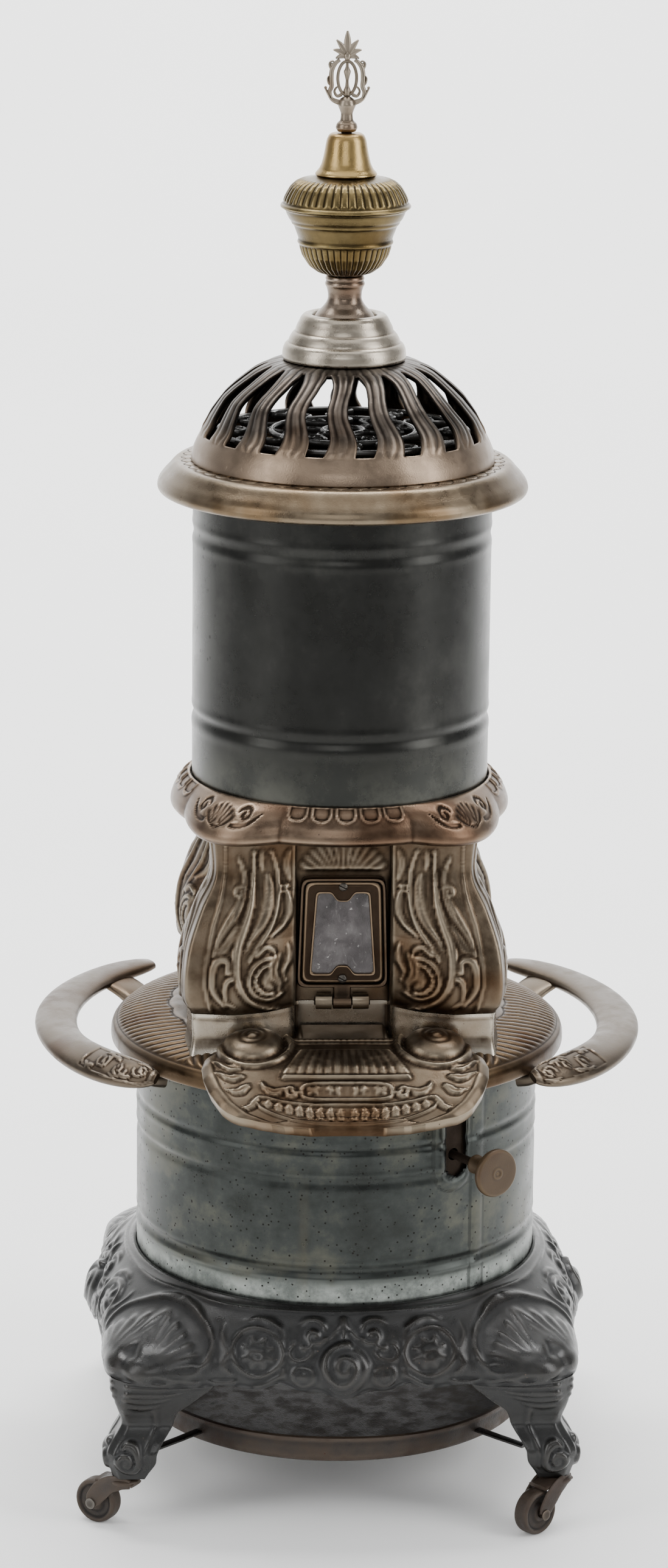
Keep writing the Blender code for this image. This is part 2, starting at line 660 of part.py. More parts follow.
def leg(name, sx, sy):
    """A corner leg: two wings that meet at the corner, drawn down to a scrolled foot."""
    stations = [(SKIRT_BOTTOM_Z - GAP, 161.0, 72.0, 8.0), (94.5, 158.5, 55.0, 9.0), (87.0, 156.0, 43.0, 12.0),
                (76.5, 153.5, 36.0, 17.0), (68.0, 159.0, 36.0, 22.0), (59.0, 163.0, 35.0, 26.0),
                (50.0, 162.0, 33.0, 25.0), (42.0, 160.5, 25.0, 21.0), (LEG_FOOT_Z, 160.0, 23.0, 19.0)]
    rings = []
    for z, corner, wing, thick in stations:
        chamfer = 7.0
        root = corner - thick
        plan = [(corner, corner - chamfer), (corner - chamfer, corner), (corner - wing, corner),
                (corner - wing, root), (root, root), (root, corner - wing), (corner, corner - wing)]
        rings.append([(x * sx, y * sy, z) for x, y in plan])
    made = loft(name, rings, "black_iron")
    return cut(made, rod("stem_bore", 4.5, 30.0, 58.0, "z", (CASTER_XY * sx, CASTER_XY * sy), steps=12))


def drip_pan():
    section = [(PAN_R, 60.0), (PAN_R, 43.0), (PAN_R - 3.0, 41.0), (2.0, 41.0), (2.0, 43.4),
               (PAN_R - 2.6, 43.4), (PAN_R - 2.6, 60.0)]
    pan = turned("drip_pan", section, "rusty_iron", 24)
    for i in range(4):
        lug = box("pan_lug", (-7.0, -185.6, 46.0), (7.0, -PAN_R + 1.4, 51.0))
        join(pan, turn_to(lug, math.radians(45 + 90 * i)))
    return pan


def caster_shapes():
    """The meshes that all four casters share: fork and stem about the swivel axis, wheel and axle about
    the wheel's own."""
    rings = []
    stations = [(-9.0, 31.0, 38.2, 34.6), (4.0, 25.0, 38.2, 34.4), (14.0, 12.5, 37.4, 33.6),
                (22.0, 10.5, 36.2, 33.2), (29.0, 13.0, 34.6, 33.0)]
    for u, low, high, bridge in stations:
        rings.append([(u, v, z) for v, z in ((-10.2, low), (-10.2, high), (10.2, high), (10.2, low),
                                             (6.8, low), (6.8, bridge), (-6.8, bridge), (-6.8, low))])
    fork = loft("fork_shape", rings, "rusty_iron")
    stem = rod("stem_shape", 4.0, 35.0, 54.0, "z", steps=12)
    wheel = turned("wheel_shape", [(WHEEL_R, 4.4), (WHEEL_R, -4.4), (14.4, -6.2), (2.9, -6.2), (2.9, 6.2),
                                   (14.4, 6.2)], "rusty_iron", 20)
    wheel.data.transform(Matrix.Rotation(math.pi / 2, 4, "X"))
    axle = rod("axle_shape", 2.5, -11.4, 11.4, "y", (0.0, 0.0), "steel_plain", 12)
    hole = rod("axle_hole_shape", 2.9, -20.0, 20.0, "y", (0.0, 0.0), steps=12)
    meshes = [obj.data for obj in (fork, stem, wheel, axle, hole)]
    for obj in (fork, stem, wheel, axle, hole):
        bpy.data.objects.remove(obj)
    return meshes


def caster(corner, sx, sy, heading, meshes):
    """One caster. heading is the way that its wheel trails, in degrees round from +X."""
    fork_mesh, stem_mesh, wheel_mesh, axle_mesh, hole_mesh = meshes
    swivel = empty("caster_pivot_" + corner, (CASTER_XY * sx, CASTER_XY * sy, 0.0), math.radians(heading))
    axle_place = Vector((CASTER_TRAIL, 0.0, WHEEL_R)) * MM
    pieces = []
    for name, mesh, place in (
        ("caster_fork_" + corner, fork_mesh, Vector()),
        ("caster_stem_" + corner, stem_mesh, Vector()),
        ("caster_wheel_" + corner, wheel_mesh, axle_place),
        ("caster_axle_" + corner, axle_mesh, axle_place),
        ("caster_hole_" + corner, hole_mesh, axle_place),
    ):
        obj = add_object(name, mesh, None)
        obj.parent = swivel
        obj.location = place
        pieces.append(obj)
    fork, stem, _, _, hole = pieces
    join(fork, stem)
    cut(fork, hole)


def main():
    clear_scene()
    dome_pivot = empty("dome_pivot", (0.0, *DOME_HINGE))
    hang_on(dome_pivot, finial_spire(), *urn_pieces(), dome_grille())
    dome_hinge_pin()
    top_ring()
    cooking_trivet()
    upper_drum()
    waist_ring()
    burner_casing()
    casing_plinth()
    deck_plate()
    front_apron()
    side_rail("side_rail_right", 1)
    side_rail("side_rail_left", -1)
    door_pieces, _ = mica_door()
    hang_on(empty("door_pivot", (0.0, *DOOR_HINGE)), *door_pieces)
    tank_casing()
    slot_cover()
    oil_tank()
    filler_cap()
    burner_pieces()
    hang_on(empty("wick_guide", (0.0, 0.0, SHAFT_Z)), *wick_pieces())
    hang_on(empty("shaft_pivot", (0.0, 0.0, SHAFT_Z)), *shaft_pieces())
    base_skirt()
    drip_pan()
    meshes = caster_shapes()
    corners = (("front_left", -1, -1, 147), ("front_right", 1, -1, 222),
               ("rear_left", -1, 1, 90), ("rear_right", 1, 1, 90))
    for corner, sx, sy, heading in corners:
        leg("leg_" + corner, sx, sy)
        caster(corner, sx, sy, heading, meshes)


main()
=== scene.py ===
import math

import bmesh
import bpy
import numpy as np
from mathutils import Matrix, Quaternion, Vector


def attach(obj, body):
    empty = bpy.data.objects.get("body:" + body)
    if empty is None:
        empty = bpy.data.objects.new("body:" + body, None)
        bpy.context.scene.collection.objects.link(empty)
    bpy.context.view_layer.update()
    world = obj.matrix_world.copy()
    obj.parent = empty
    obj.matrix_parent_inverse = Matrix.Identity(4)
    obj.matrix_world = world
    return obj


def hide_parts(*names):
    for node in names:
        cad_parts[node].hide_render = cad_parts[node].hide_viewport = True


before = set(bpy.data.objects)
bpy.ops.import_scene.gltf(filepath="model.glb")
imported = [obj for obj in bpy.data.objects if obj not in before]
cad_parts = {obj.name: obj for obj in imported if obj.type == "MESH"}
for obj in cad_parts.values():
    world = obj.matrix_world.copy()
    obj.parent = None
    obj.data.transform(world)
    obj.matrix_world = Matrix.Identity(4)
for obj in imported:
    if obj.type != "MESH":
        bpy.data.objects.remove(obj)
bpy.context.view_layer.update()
mm = 0.001
tau = 2 * math.pi
smoothAngle = math.radians(42)


# lines and grids, all in millimetres

def rounded(points, step=1.0, passes=2, closed=False):
    # a polyline walked at equal steps, then averaged with its neighbours, which rounds its corners
    points = np.asarray(points, float)
    if closed:
        points = np.vstack([points, points[:1]])
    reach = np.concatenate([[0.0], np.cumsum(np.linalg.norm(np.diff(points, axis=0), axis=1))])
    count = max(4, int(round(reach[-1] / step)))
    places = np.linspace(0.0, reach[-1], count + 1)
    if closed:
        places = places[:-1]
    line = np.stack([np.interp(places, reach, column) for column in points.T], axis=1)
    for _ in range(passes):
        if closed:
            line = (np.roll(line, 1, 0) + 2 * line + np.roll(line, -1, 0)) / 4
        else:
            line[1:-1] = (line[:-2] + 2 * line[1:-1] + line[2:]) / 4
    return line


def through(points, count=40):
    # Catmull-Rom curve through all the points, read at count places
    p = np.asarray(points, float)
    p = np.vstack([2 * p[0] - p[1], p, 2 * p[-1] - p[-2]])
    t = np.linspace(0, len(p) - 3 - 1e-9, count)
    k = t.astype(int)
    f = (t - k)[:, None]
    a, b, c, d = p[k], p[k + 1], p[k + 2], p[k + 3]
    return 0.5 * (2 * b + (c - a) * f + (2 * a - 5 * b + 4 * c - d) * f**2 + (3 * b - a - 3 * c + d) * f**3)


def spiral(centre, outer, inner, start, turns, count=48):
    # radius shrinks evenly in ratio from outer to inner while the angle runs through turns
    t = np.linspace(0, 1, count)
    radius = outer * (inner / outer) ** t
    angle = math.radians(start) + tau * turns * t
    return np.stack([centre[0] + radius * np.cos(angle), centre[1] + radius * np.sin(angle)], axis=1)


def eased(x):
    # 0 below 0, 1 above 1 and a smooth step between
    x = np.clip(x, 0, 1)
    return x * x * (3 - 2 * x)


def turnedGrid(line, cols):
    # each (radius, z) of the line carried round the axis
    angle = np.arange(cols) * tau / cols
    r, z = line[:, 0][:, None], line[:, 1][:, None]
    return np.stack([r * np.cos(angle), r * np.sin(angle), z + 0 * angle], axis=2)


def sweep(path, across, deep, side=(0, 1, 0), sides=10, power=2.0):
    # an oval carried on the path: half width across in the plane of the path, deep along side
    path = np.asarray(path, float)
    if path.shape[1] == 2:
        path = np.stack([path[:, 0], 0 * path[:, 0], path[:, 1]], axis=1)
    tangent = np.gradient(path, axis=0)
    tangent /= np.linalg.norm(tangent, axis=1, keepdims=True) + 1e-9
    second = np.asarray(side, float) - tangent * (tangent @ np.asarray(side, float))[:, None]
    second /= np.linalg.norm(second, axis=1, keepdims=True) + 1e-9
    first = np.cross(second, tangent)
    turn = np.arange(sides) * tau / sides
    c = np.sign(np.cos(turn)) * np.abs(np.cos(turn)) ** (2 / power)
    s = np.sign(np.sin(turn)) * np.abs(np.sin(turn)) ** (2 / power)
    across = np.broadcast_to(across, len(path))[:, None, None]
    deep = np.broadcast_to(deep, len(path))[:, None, None]
    return path[:, None] + across * c[None, :, None] * first[:, None] + deep * s[None, :, None] * second[:, None]


def ball(centre, radius, squash=(1, 1, 1), sides=14):
    # rings of a sphere from its lowest to its highest point
    lift = np.linspace(-0.497 * math.pi, 0.497 * math.pi, sides // 2 + 3)
    grid = turnedGrid(np.stack([radius * np.cos(lift), radius * np.sin(lift)], axis=1), sides)
    return grid * np.asarray(squash) + np.asarray(centre, float)


def placed(grid, turn=0.0, shift=(0, 0, 0)):
    # the grid turned about Z and moved
    c, s = math.cos(turn), math.sin(turn)
    x, y, z = grid[..., 0], grid[..., 1], grid[..., 2]
    return np.stack([x * c - y * s, x * s + y * c, z], axis=-1) + np.asarray(shift, float)


def layFlat(grid, centre):
    # a piece turned about Z laid down, so that its axis runs to -Y from the centre
    x, y, z = grid[..., 0], grid[..., 1], grid[..., 2]
    return np.stack([x, -z, y], axis=-1) + np.asarray(centre, float)


def averaged(grid, passes, ringed):
    # each point drawn towards the mean of its four neighbours
    for _ in range(passes):
        up, down = np.roll(grid, 1, 0), np.roll(grid, -1, 0)
        if not ringed:
            up[0], down[-1] = grid[0], grid[-1]
        grid = (2 * grid + up + down + np.roll(grid, 1, 1) + np.roll(grid, -1, 1)) / 6
    return grid


def normalsOf(grid, ringed):
    # cross product of the slopes along the columns and the rows
    along = np.roll(grid, -1, 1) - np.roll(grid, 1, 1)
    up = np.roll(grid, -1, 0) - np.roll(grid, 1, 0) if ringed else np.gradient(grid, axis=0)
    normal = np.cross(along, up)
    return normal / (np.linalg.norm(normal, axis=2, keepdims=True) + 1e-9)


def raisedBy(grid, height, ringed=False):
    return grid + normalsOf(grid, ringed) * height[..., None]


def reliefOf(grid, ringed, passes=3, gain=1.6):
    # 0.5 where the surface is even, more on ridges and less in grooves
    proud = ((grid - averaged(grid, passes, ringed)) * normalsOf(grid, ringed)).sum(2)
    return np.clip(0.5 + gain * proud, 0, 1)


# relief drawn on a surface's own two coordinates

def ridge(height, u, v, curve, width, tall, vein=0.0, groove=0.0):
    # a rounded ridge along the curve: a half ellipse of half width and height that may vary along it;
    # vein cuts a furrow down its middle, groove sinks a line along both of its sides
    curve = np.asarray(curve, float)
    width = np.broadcast_to(width, len(curve)).astype(float)
    tall = np.broadcast_to(tall, len(curve)).astype(float)
    margin = width.max() * (1.6 if groove else 1.0)
    low, high = curve.min(0) - margin, curve.max(0) + margin
    mask = (u > low[0]) & (u < high[0]) & (v > low[1]) & (v < high[1])
    if not mask.any():
        return height
    away = np.hypot(u[mask][:, None] - curve[:, 0], v[mask][:, None] - curve[:, 1])
    near = away.argmin(1)
    t = away[np.arange(len(near)), near] / np.maximum(width[near], 0.05)
    bump = tall[near] * np.sqrt(np.clip(1 - t * t, 0, 1)) * (1 - vein * np.exp(-((t / 0.25) ** 2)))
    here = height[mask]
    if groove:
        here = here - groove * np.exp(-(((t - 1.15) / 0.22) ** 2))
    height[mask] = np.where(t < 1, np.maximum(here, bump + np.minimum(here, 0) * 0.3), here)
    return height


def pearls(height, u, v, places, radius, tall):
    # a half ball at each place
    for x, y in places:
        away = np.hypot(u - x, v - y) / radius
        height[:] = np.maximum(height, tall * np.sqrt(np.clip(1 - away**2, 0, 1)))
    return height


def leafWidths(count, wide, lobes=0, start=0.12):
    # half width of a leaf along its rib: swelling and running out to a point, with lobes on its edge
    t = np.linspace(0, 1, count)
    width = wide * (start + np.sin(math.pi * t**0.75) ** 0.8) * (1 - 0.8 * t**3)
    if lobes:
        width = width * (0.8 + 0.2 * np.abs(np.cos(math.pi * lobes * t)))
    return np.maximum(width, 0.15)


def shell(height, u, v, root, turn, length, spread, ribs, tall):
    # a fan of ribs about its root: |cos| across the angle, rounded off at its outer edge
    x, y = u - root[0], v - root[1]
    away = np.hypot(x, y) / length
    angle = np.mod(np.arctan2(y, x) - math.radians(turn) + math.pi, tau) - math.pi
    share = angle / math.radians(spread)
    rim = 1 - 0.07 * (1 - np.abs(np.cos(share * ribs * math.pi / 2)))
    inside = (np.abs(share) < 1) & (away < rim)
    fan = (0.35 + 0.65 * np.abs(np.cos(share * ribs * math.pi / 2)) ** 0.7) * np.sqrt(np.clip(1 - (away / rim) ** 6, 0, 1))
    height[inside] = np.maximum(height[inside], (tall * fan * np.clip(away * 4, 0, 1) ** 0.5)[inside])
    return height


# meshes

def facesOf(rows, cols, ringed):
    index = np.arange(rows * cols).reshape(rows, cols)
    if ringed:
        low, high = index, np.roll(index, -1, 0)
    else:
        low, high = index[:-1], index[1:]
    quads = np.stack([low, np.roll(low, -1, 1), np.roll(high, -1, 1), high], axis=2).reshape(-1, 4)
    caps = [] if ringed else [index[0][::-1], index[-1]]
    return quads, caps


def volumeOf(points, quads, caps):
    a, b, c, d = (points[quads[:, k]] for k in range(4))
    total = (a * np.cross(b, c)).sum() + (a * np.cross(c, d)).sum()
    for cap in caps:
        first, rest = points[cap[0]], points[cap[1:]]
        total += (first * np.cross(rest[:-1], rest[1:])).sum()
    return total / 6


def addPiece(name, parts, body, finish, replaced=(), angle=smoothAngle):
    # parts are closed grids: (grid, ringed) or (grid, ringed, relief). A ringed grid closes on itself
    # along its rows, any other is capped at both ends
    points, faces, relief, count = [], [], [], 0
    for part in parts:
        grid, ringed = part[:2]
        rows, cols = grid.shape[:2]
        quads, caps = facesOf(rows, cols, ringed)
        flat = grid.reshape(-1, 3)
        tone = (part[2] if len(part) > 2 else reliefOf(grid, ringed)).reshape(-1)
        if volumeOf(flat, quads, caps) < 0:
            quads, caps = quads[:, ::-1], [cap[::-1] for cap in caps]
            if len(part) < 3:
                tone = 1 - tone
        points.append(flat)
        relief.append(tone)
        faces += (quads + count).tolist() + [(cap + count).tolist() for cap in caps]
        count += len(flat)
    mesh = bpy.data.meshes.new(name)
    mesh.from_pydata((np.vstack(points) * mm).tolist(), [], faces)
    return finished(name, mesh, np.concatenate(relief), body, finish, replaced, angle)


def finished(name, mesh, relief, body, finish, replaced, angle=smoothAngle):
    mesh.attributes.new("relief", "FLOAT", "POINT").data.foreach_set("value", relief.astype(np.float32))
    mesh.shade_smooth()
    mesh.set_sharp_from_angle(angle=angle)
    mesh.materials.append(finish)
    piece = bpy.data.objects.new(name, mesh)
    bpy.context.scene.collection.objects.link(piece)
    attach(piece, body)
    if replaced:
        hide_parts(*replaced)
    return piece


def ringLine(outer, inner, step=1.0, innerStep=4.0, passes=2):
    # a closed section: its outer line finely and its inner line coarsely, and which rows are the outer ones
    fine = rounded(outer, step, passes)
    coarse = rounded(inner, innerStep, 0)
    return np.vstack([fine, coarse]), len(fine)


def turnedPiece(name, outer, inner, cols, body, finish, replaced=(), step=1.0, relief=None, passes=2):
    line, shown = ringLine(outer, inner, step, passes=passes)
    grid = turnedGrid(line, cols)
    if relief:
        height = np.zeros(grid.shape[:2])
        height[:shown] = relief(np.arange(cols)[None, :] * tau / cols, line[:shown, 1][:, None],
                                line[:shown, 0][:, None])
        grid = raisedBy(grid, height, True)
    return addPiece(name, [(grid, True)], body, finish, replaced)


# materials

def rgb(red, green, blue):
    # screen colour to the linear colour that a shader takes
    values = []
    for value in (red, green, blue):
        share = value / 255
        values.append(share / 12.92 if share <= 0.04045 else ((share + 0.055) / 1.055) ** 2.4)
    return (*values, 1.0)


class Tree:
    # short calls for building one material's nodes
    def __init__(self, name):
        self.material = bpy.data.materials.new(name)
        self.material.use_nodes = True
        self.nodes = self.material.node_tree.nodes
        self.links = self.material.node_tree.links
        self.shader = self.nodes["Principled BSDF"]
        self.place = self.nodes.new("ShaderNodeTexCoord").outputs["Object"]

    def link(self, source, target):
        self.links.new(source, target)
        return source

    def fill(self, socket, value):
        if isinstance(value, bpy.types.NodeSocket):
            self.links.new(value, socket)
        else:
            socket.default_value = value

    def noise(self, scale, detail=4.0, rough=0.55, stretch=None, distort=0.0):
        node = self.nodes.new("ShaderNodeTexNoise")
        node.inputs["Scale"].default_value = scale
        node.inputs["Detail"].default_value = detail
        node.inputs["Roughness"].default_value = rough
        node.inputs["Distortion"].default_value = distort
        place = self.place
        if stretch:
            mapping = self.nodes.new("ShaderNodeMapping")
            mapping.inputs["Scale"].default_value = stretch
            self.link(self.place, mapping.inputs["Vector"])
            place = mapping.outputs["Vector"]
        self.link(place, node.inputs["Vector"])
        return node.outputs["Fac"]

    def spots(self, scale):
        node = self.nodes.new("ShaderNodeTexVoronoi")
        node.inputs["Scale"].default_value = scale
        self.link(self.place, node.inputs["Vector"])
        return node.outputs["Distance"]

    def attribute(self, name):
        node = self.nodes.new("ShaderNodeAttribute")
        node.attribute_name = name
        return node.outputs["Fac"]

    def axis(self, letter):
        node = self.nodes.new("ShaderNodeSeparateXYZ")
        self.link(self.place, node.inputs["Vector"])
        return node.outputs[letter]

    def math(self, operation, first, second=0.0):
        node = self.nodes.new("ShaderNodeMath")
        node.operation = operation
        self.fill(node.inputs[0], first)
        self.fill(node.inputs[1], second)
        return node.outputs[0]

    def spread(self, value, low, high, toLow=0.0, toHigh=1.0):
        node = self.nodes.new("ShaderNodeMapRange")
        node.interpolation_type = "SMOOTHSTEP"
        for socket, given in zip(node.inputs, (value, low, high, toLow, toHigh)):
            self.fill(socket, given)
        return node.outputs["Result"]

    def ramp(self, value, stops):
        node = self.nodes.new("ShaderNodeValToRGB")
        elements = node.color_ramp.elements
        while len(elements) < len(stops):
            elements.new(0.5)
        for element, (place, colour) in zip(elements, stops):
            element.position = place
            element.color = colour
        self.link(value, node.inputs["Fac"])
        return node.outputs["Color"]

    def mix(self, share, first, second, blend="MIX"):
        node = self.nodes.new("ShaderNodeMix")
        node.data_type = "RGBA"
        node.blend_type = blend
        self.fill(node.inputs[0], share)
        self.fill(node.inputs[6], first)
        self.fill(node.inputs[7], second)
        return node.outputs[2]

    def bump(self, height, strength, distance, below=None):
        node = self.nodes.new("ShaderNodeBump")
        node.inputs["Strength"].default_value = strength
        node.inputs["Distance"].default_value = distance
        self.link(height, node.inputs["Height"])
        if below:
            self.link(below, node.inputs["Normal"])
        return node.outputs["Normal"]

    def finish(self, colour, metallic, rough, normal=None):
        for name, value in (("Base Color", colour), ("Metallic", metallic), ("Roughness", rough)):
            self.fill(self.shader.inputs[name], value)
        if normal:
            self.link(normal, self.shader.inputs["Normal"])
        return self.material


def castMetal(name, s):
    # plated or bare casting: grime and painted shade in its recesses, wear and a painted highlight on its ridges,
    # stained in clouds, pitted with rust spots and faintly rough
    t = Tree(name)
    clouds = t.noise(s["cloudScale"], 3.0)
    mottle = t.noise(s["mottleScale"], 5.0, 0.6)
    fine = t.noise(s["fineScale"], 3.0)
    height = t.math("ADD", t.attribute("relief"), t.math("MULTIPLY", t.math("SUBTRACT", mottle, 0.5), s["unrest"]))
    # where the relief is low: grime plus painted shade in the recesses; where it is high: wear plus a painted highlight
    # on the ridges
    colour = t.ramp(height, [(s["grimeAndShadeAt"], s["grimeAndShade"]), (s["evenAt"], s["even"]), (s["wearAndHighlightAt"], s["wearAndHighlight"])])
    stainShare = t.spread(clouds, s["stainFrom"], s["stainFrom"] + 0.16, 0.0, s["stainMost"])
    colour = t.mix(stainShare, colour, s["stain"], "MULTIPLY")
    spotShare = t.math("MULTIPLY", t.spread(t.spots(s["spotScale"]), 0.17, 0.10, 0.0, 1.0),
                       t.spread(mottle, s["spotFrom"], s["spotFrom"] + 0.06))
    colour = t.mix(spotShare, colour, s["rust"])
    if "lowTone" in s:
        colour = t.mix(t.spread(t.axis("Z"), s["lowFrom"], s["lowTo"], s["lowMost"], 0.0), colour, s["lowTone"])
    rough = t.math("ADD", t.spread(mottle, 0.3, 0.7, s["roughLow"], s["roughHigh"]),
                   t.math("MULTIPLY", spotShare, 0.3))
    rough = t.math("ADD", rough, t.spread(height, s["evenAt"], s["grimeAndShadeAt"], 0.0, 0.22))
    metallic = t.math("SUBTRACT", s["metal"], t.math("MULTIPLY", spotShare, s["metal"] * 0.7))
    normal = t.bump(fine, s["bump"], 0.0004)
    return t.finish(colour, metallic, rough, normal)


castBase = {
    "cloudScale": 14.0, "mottleScale": 75.0, "fineScale": 900.0, "unrest": 0.3,
    "grimeAndShadeAt": 0.27, "evenAt": 0.47, "wearAndHighlightAt": 0.76,
    "grimeAndShade": rgb(42, 33, 25), "even": rgb(82, 70, 57), "wearAndHighlight": rgb(128, 117, 101),
    "stain": rgb(190, 155, 120), "stainFrom": 0.50, "stainMost": 0.7,
    "rust": rgb(58, 36, 24), "spotScale": 260.0, "spotFrom": 0.60,
    "roughLow": 0.28, "roughHigh": 0.44, "metal": 1.0, "bump": 0.22,
}

nickelWorn = castMetal("nickelWorn", castBase)
nickelRing = castMetal("nickelRing", {**castBase, "even": rgb(98, 85, 69), "wearAndHighlight": rgb(130, 118, 100),
                                      "stain": rgb(190, 165, 130), "roughLow": 0.26, "roughHigh": 0.38})
nickelDeck = castMetal("nickelDeck", {**castBase, "even": rgb(58, 46, 33), "wearAndHighlight": rgb(88, 72, 54),
                                      "stain": rgb(190, 150, 110)})
nickelRail = castMetal("nickelRail", {**castBase, "even": rgb(74, 64, 53), "wearAndHighlight": rgb(104, 94, 82),
                                      "stain": rgb(190, 160, 130)})
nickelCopper = castMetal("nickelCopper", {**castBase, "even": rgb(90, 74, 61), "wearAndHighlight": rgb(138, 120, 102),
                                          "stain": rgb(170, 145, 130), "roughLow": 0.26, "roughHigh": 0.38})
nickelBright = castMetal("nickelBright", {**castBase, "even": rgb(138, 128, 114), "wearAndHighlight": rgb(176, 168, 154),
                                          "grimeAndShade": rgb(62, 52, 42), "stain": rgb(190, 165, 140),
                                          "stainFrom": 0.56, "stainMost": 0.6, "roughLow": 0.22, "roughHigh": 0.34})
stemNickel = castMetal("stemNickel", {**castBase, "even": rgb(112, 100, 88), "wearAndHighlight": rgb(144, 130, 116),
                                      "stain": rgb(190, 160, 140), "roughLow": 0.24, "roughHigh": 0.34})
spireNickel = castMetal("spireNickel", {**castBase, "even": rgb(92, 84, 74), "wearAndHighlight": rgb(140, 130, 116),
                                        "grimeAndShade": rgb(48, 42, 36)})
nickelSmoked = castMetal("nickelSmoked", {**castBase, "even": rgb(52, 46, 41), "wearAndHighlight": rgb(104, 96, 88),
                                          "grimeAndShade": rgb(26, 22, 19), "stain": rgb(190, 160, 130), "lowTone": rgb(134, 117, 100),
                                          "lowFrom": 0.744, "lowTo": 0.765, "lowMost": 0.85,
                                          "roughLow": 0.28, "roughHigh": 0.42})
brassAged = castMetal("brassAged", {**castBase, "even": rgb(82, 70, 46), "wearAndHighlight": rgb(128, 112, 76),
                                    "grimeAndShade": rgb(46, 38, 24), "stain": rgb(180, 160, 130), "stainMost": 0.6,
                                    "rust": rgb(96, 102, 84), "roughLow": 0.24, "roughHigh": 0.36})
brassBell = castMetal("brassBell", {**castBase, "even": rgb(148, 124, 78), "wearAndHighlight": rgb(168, 144, 98),
                                    "grimeAndShade": rgb(84, 66, 36), "stainMost": 0.4, "roughLow": 0.24, "roughHigh": 0.34})
blackIron = castMetal("blackIron", {**castBase, "even": rgb(25, 25, 24), "wearAndHighlight": rgb(42, 40, 37),
                                    "grimeAndShade": rgb(11, 11, 11), "stain": rgb(180, 150, 120), "stainMost": 0.6,
                                    "evenAt": 0.52, "wearAndHighlightAt": 0.9, "metal": 0.2, "unrest": 0.5,
                                    "rust": rgb(70, 58, 48), "roughLow": 0.22, "roughHigh": 0.36})
rustyIron = castMetal("rustyIron", {**castBase, "even": rgb(40, 32, 25), "wearAndHighlight": rgb(62, 51, 41),
                                    "grimeAndShade": rgb(20, 15, 12), "stain": rgb(160, 125, 100), "metal": 0.3,
                                    "roughLow": 0.42, "roughHigh": 0.7, "bump": 0.6, "unrest": 0.8})
darkSteel = castMetal("darkSteel", {**castBase, "even": rgb(66, 62, 58), "wearAndHighlight": rgb(104, 100, 94),
                                    "metal": 0.9, "roughLow": 0.35, "roughHigh": 0.5})
doorNickel = castMetal("doorNickel", {**castBase, "even": rgb(46, 38, 31), "wearAndHighlight": rgb(88, 74, 61),
                                      "grimeAndShade": rgb(20, 17, 14), "roughLow": 0.3, "roughHigh": 0.46})
copperKnob = castMetal("copperKnob", {**castBase, "even": rgb(62, 48, 32), "wearAndHighlight": rgb(84, 68, 47),
                                      "grimeAndShade": rgb(50, 38, 27), "stain": rgb(200, 170, 140), "metal": 0.5,
                                      "roughLow": 0.42, "roughHigh": 0.55})
print("materials made")


# the spire: a base with a ball, two leaf arms, an oval hoop with a spindle in it and a seven-leaved palmette

spireSizes = {"hub": 1008.0, "hoopCentre": 994.5, "hoopAcross": 6.4, "hoopTall": 11.5, "wire": 1.15}


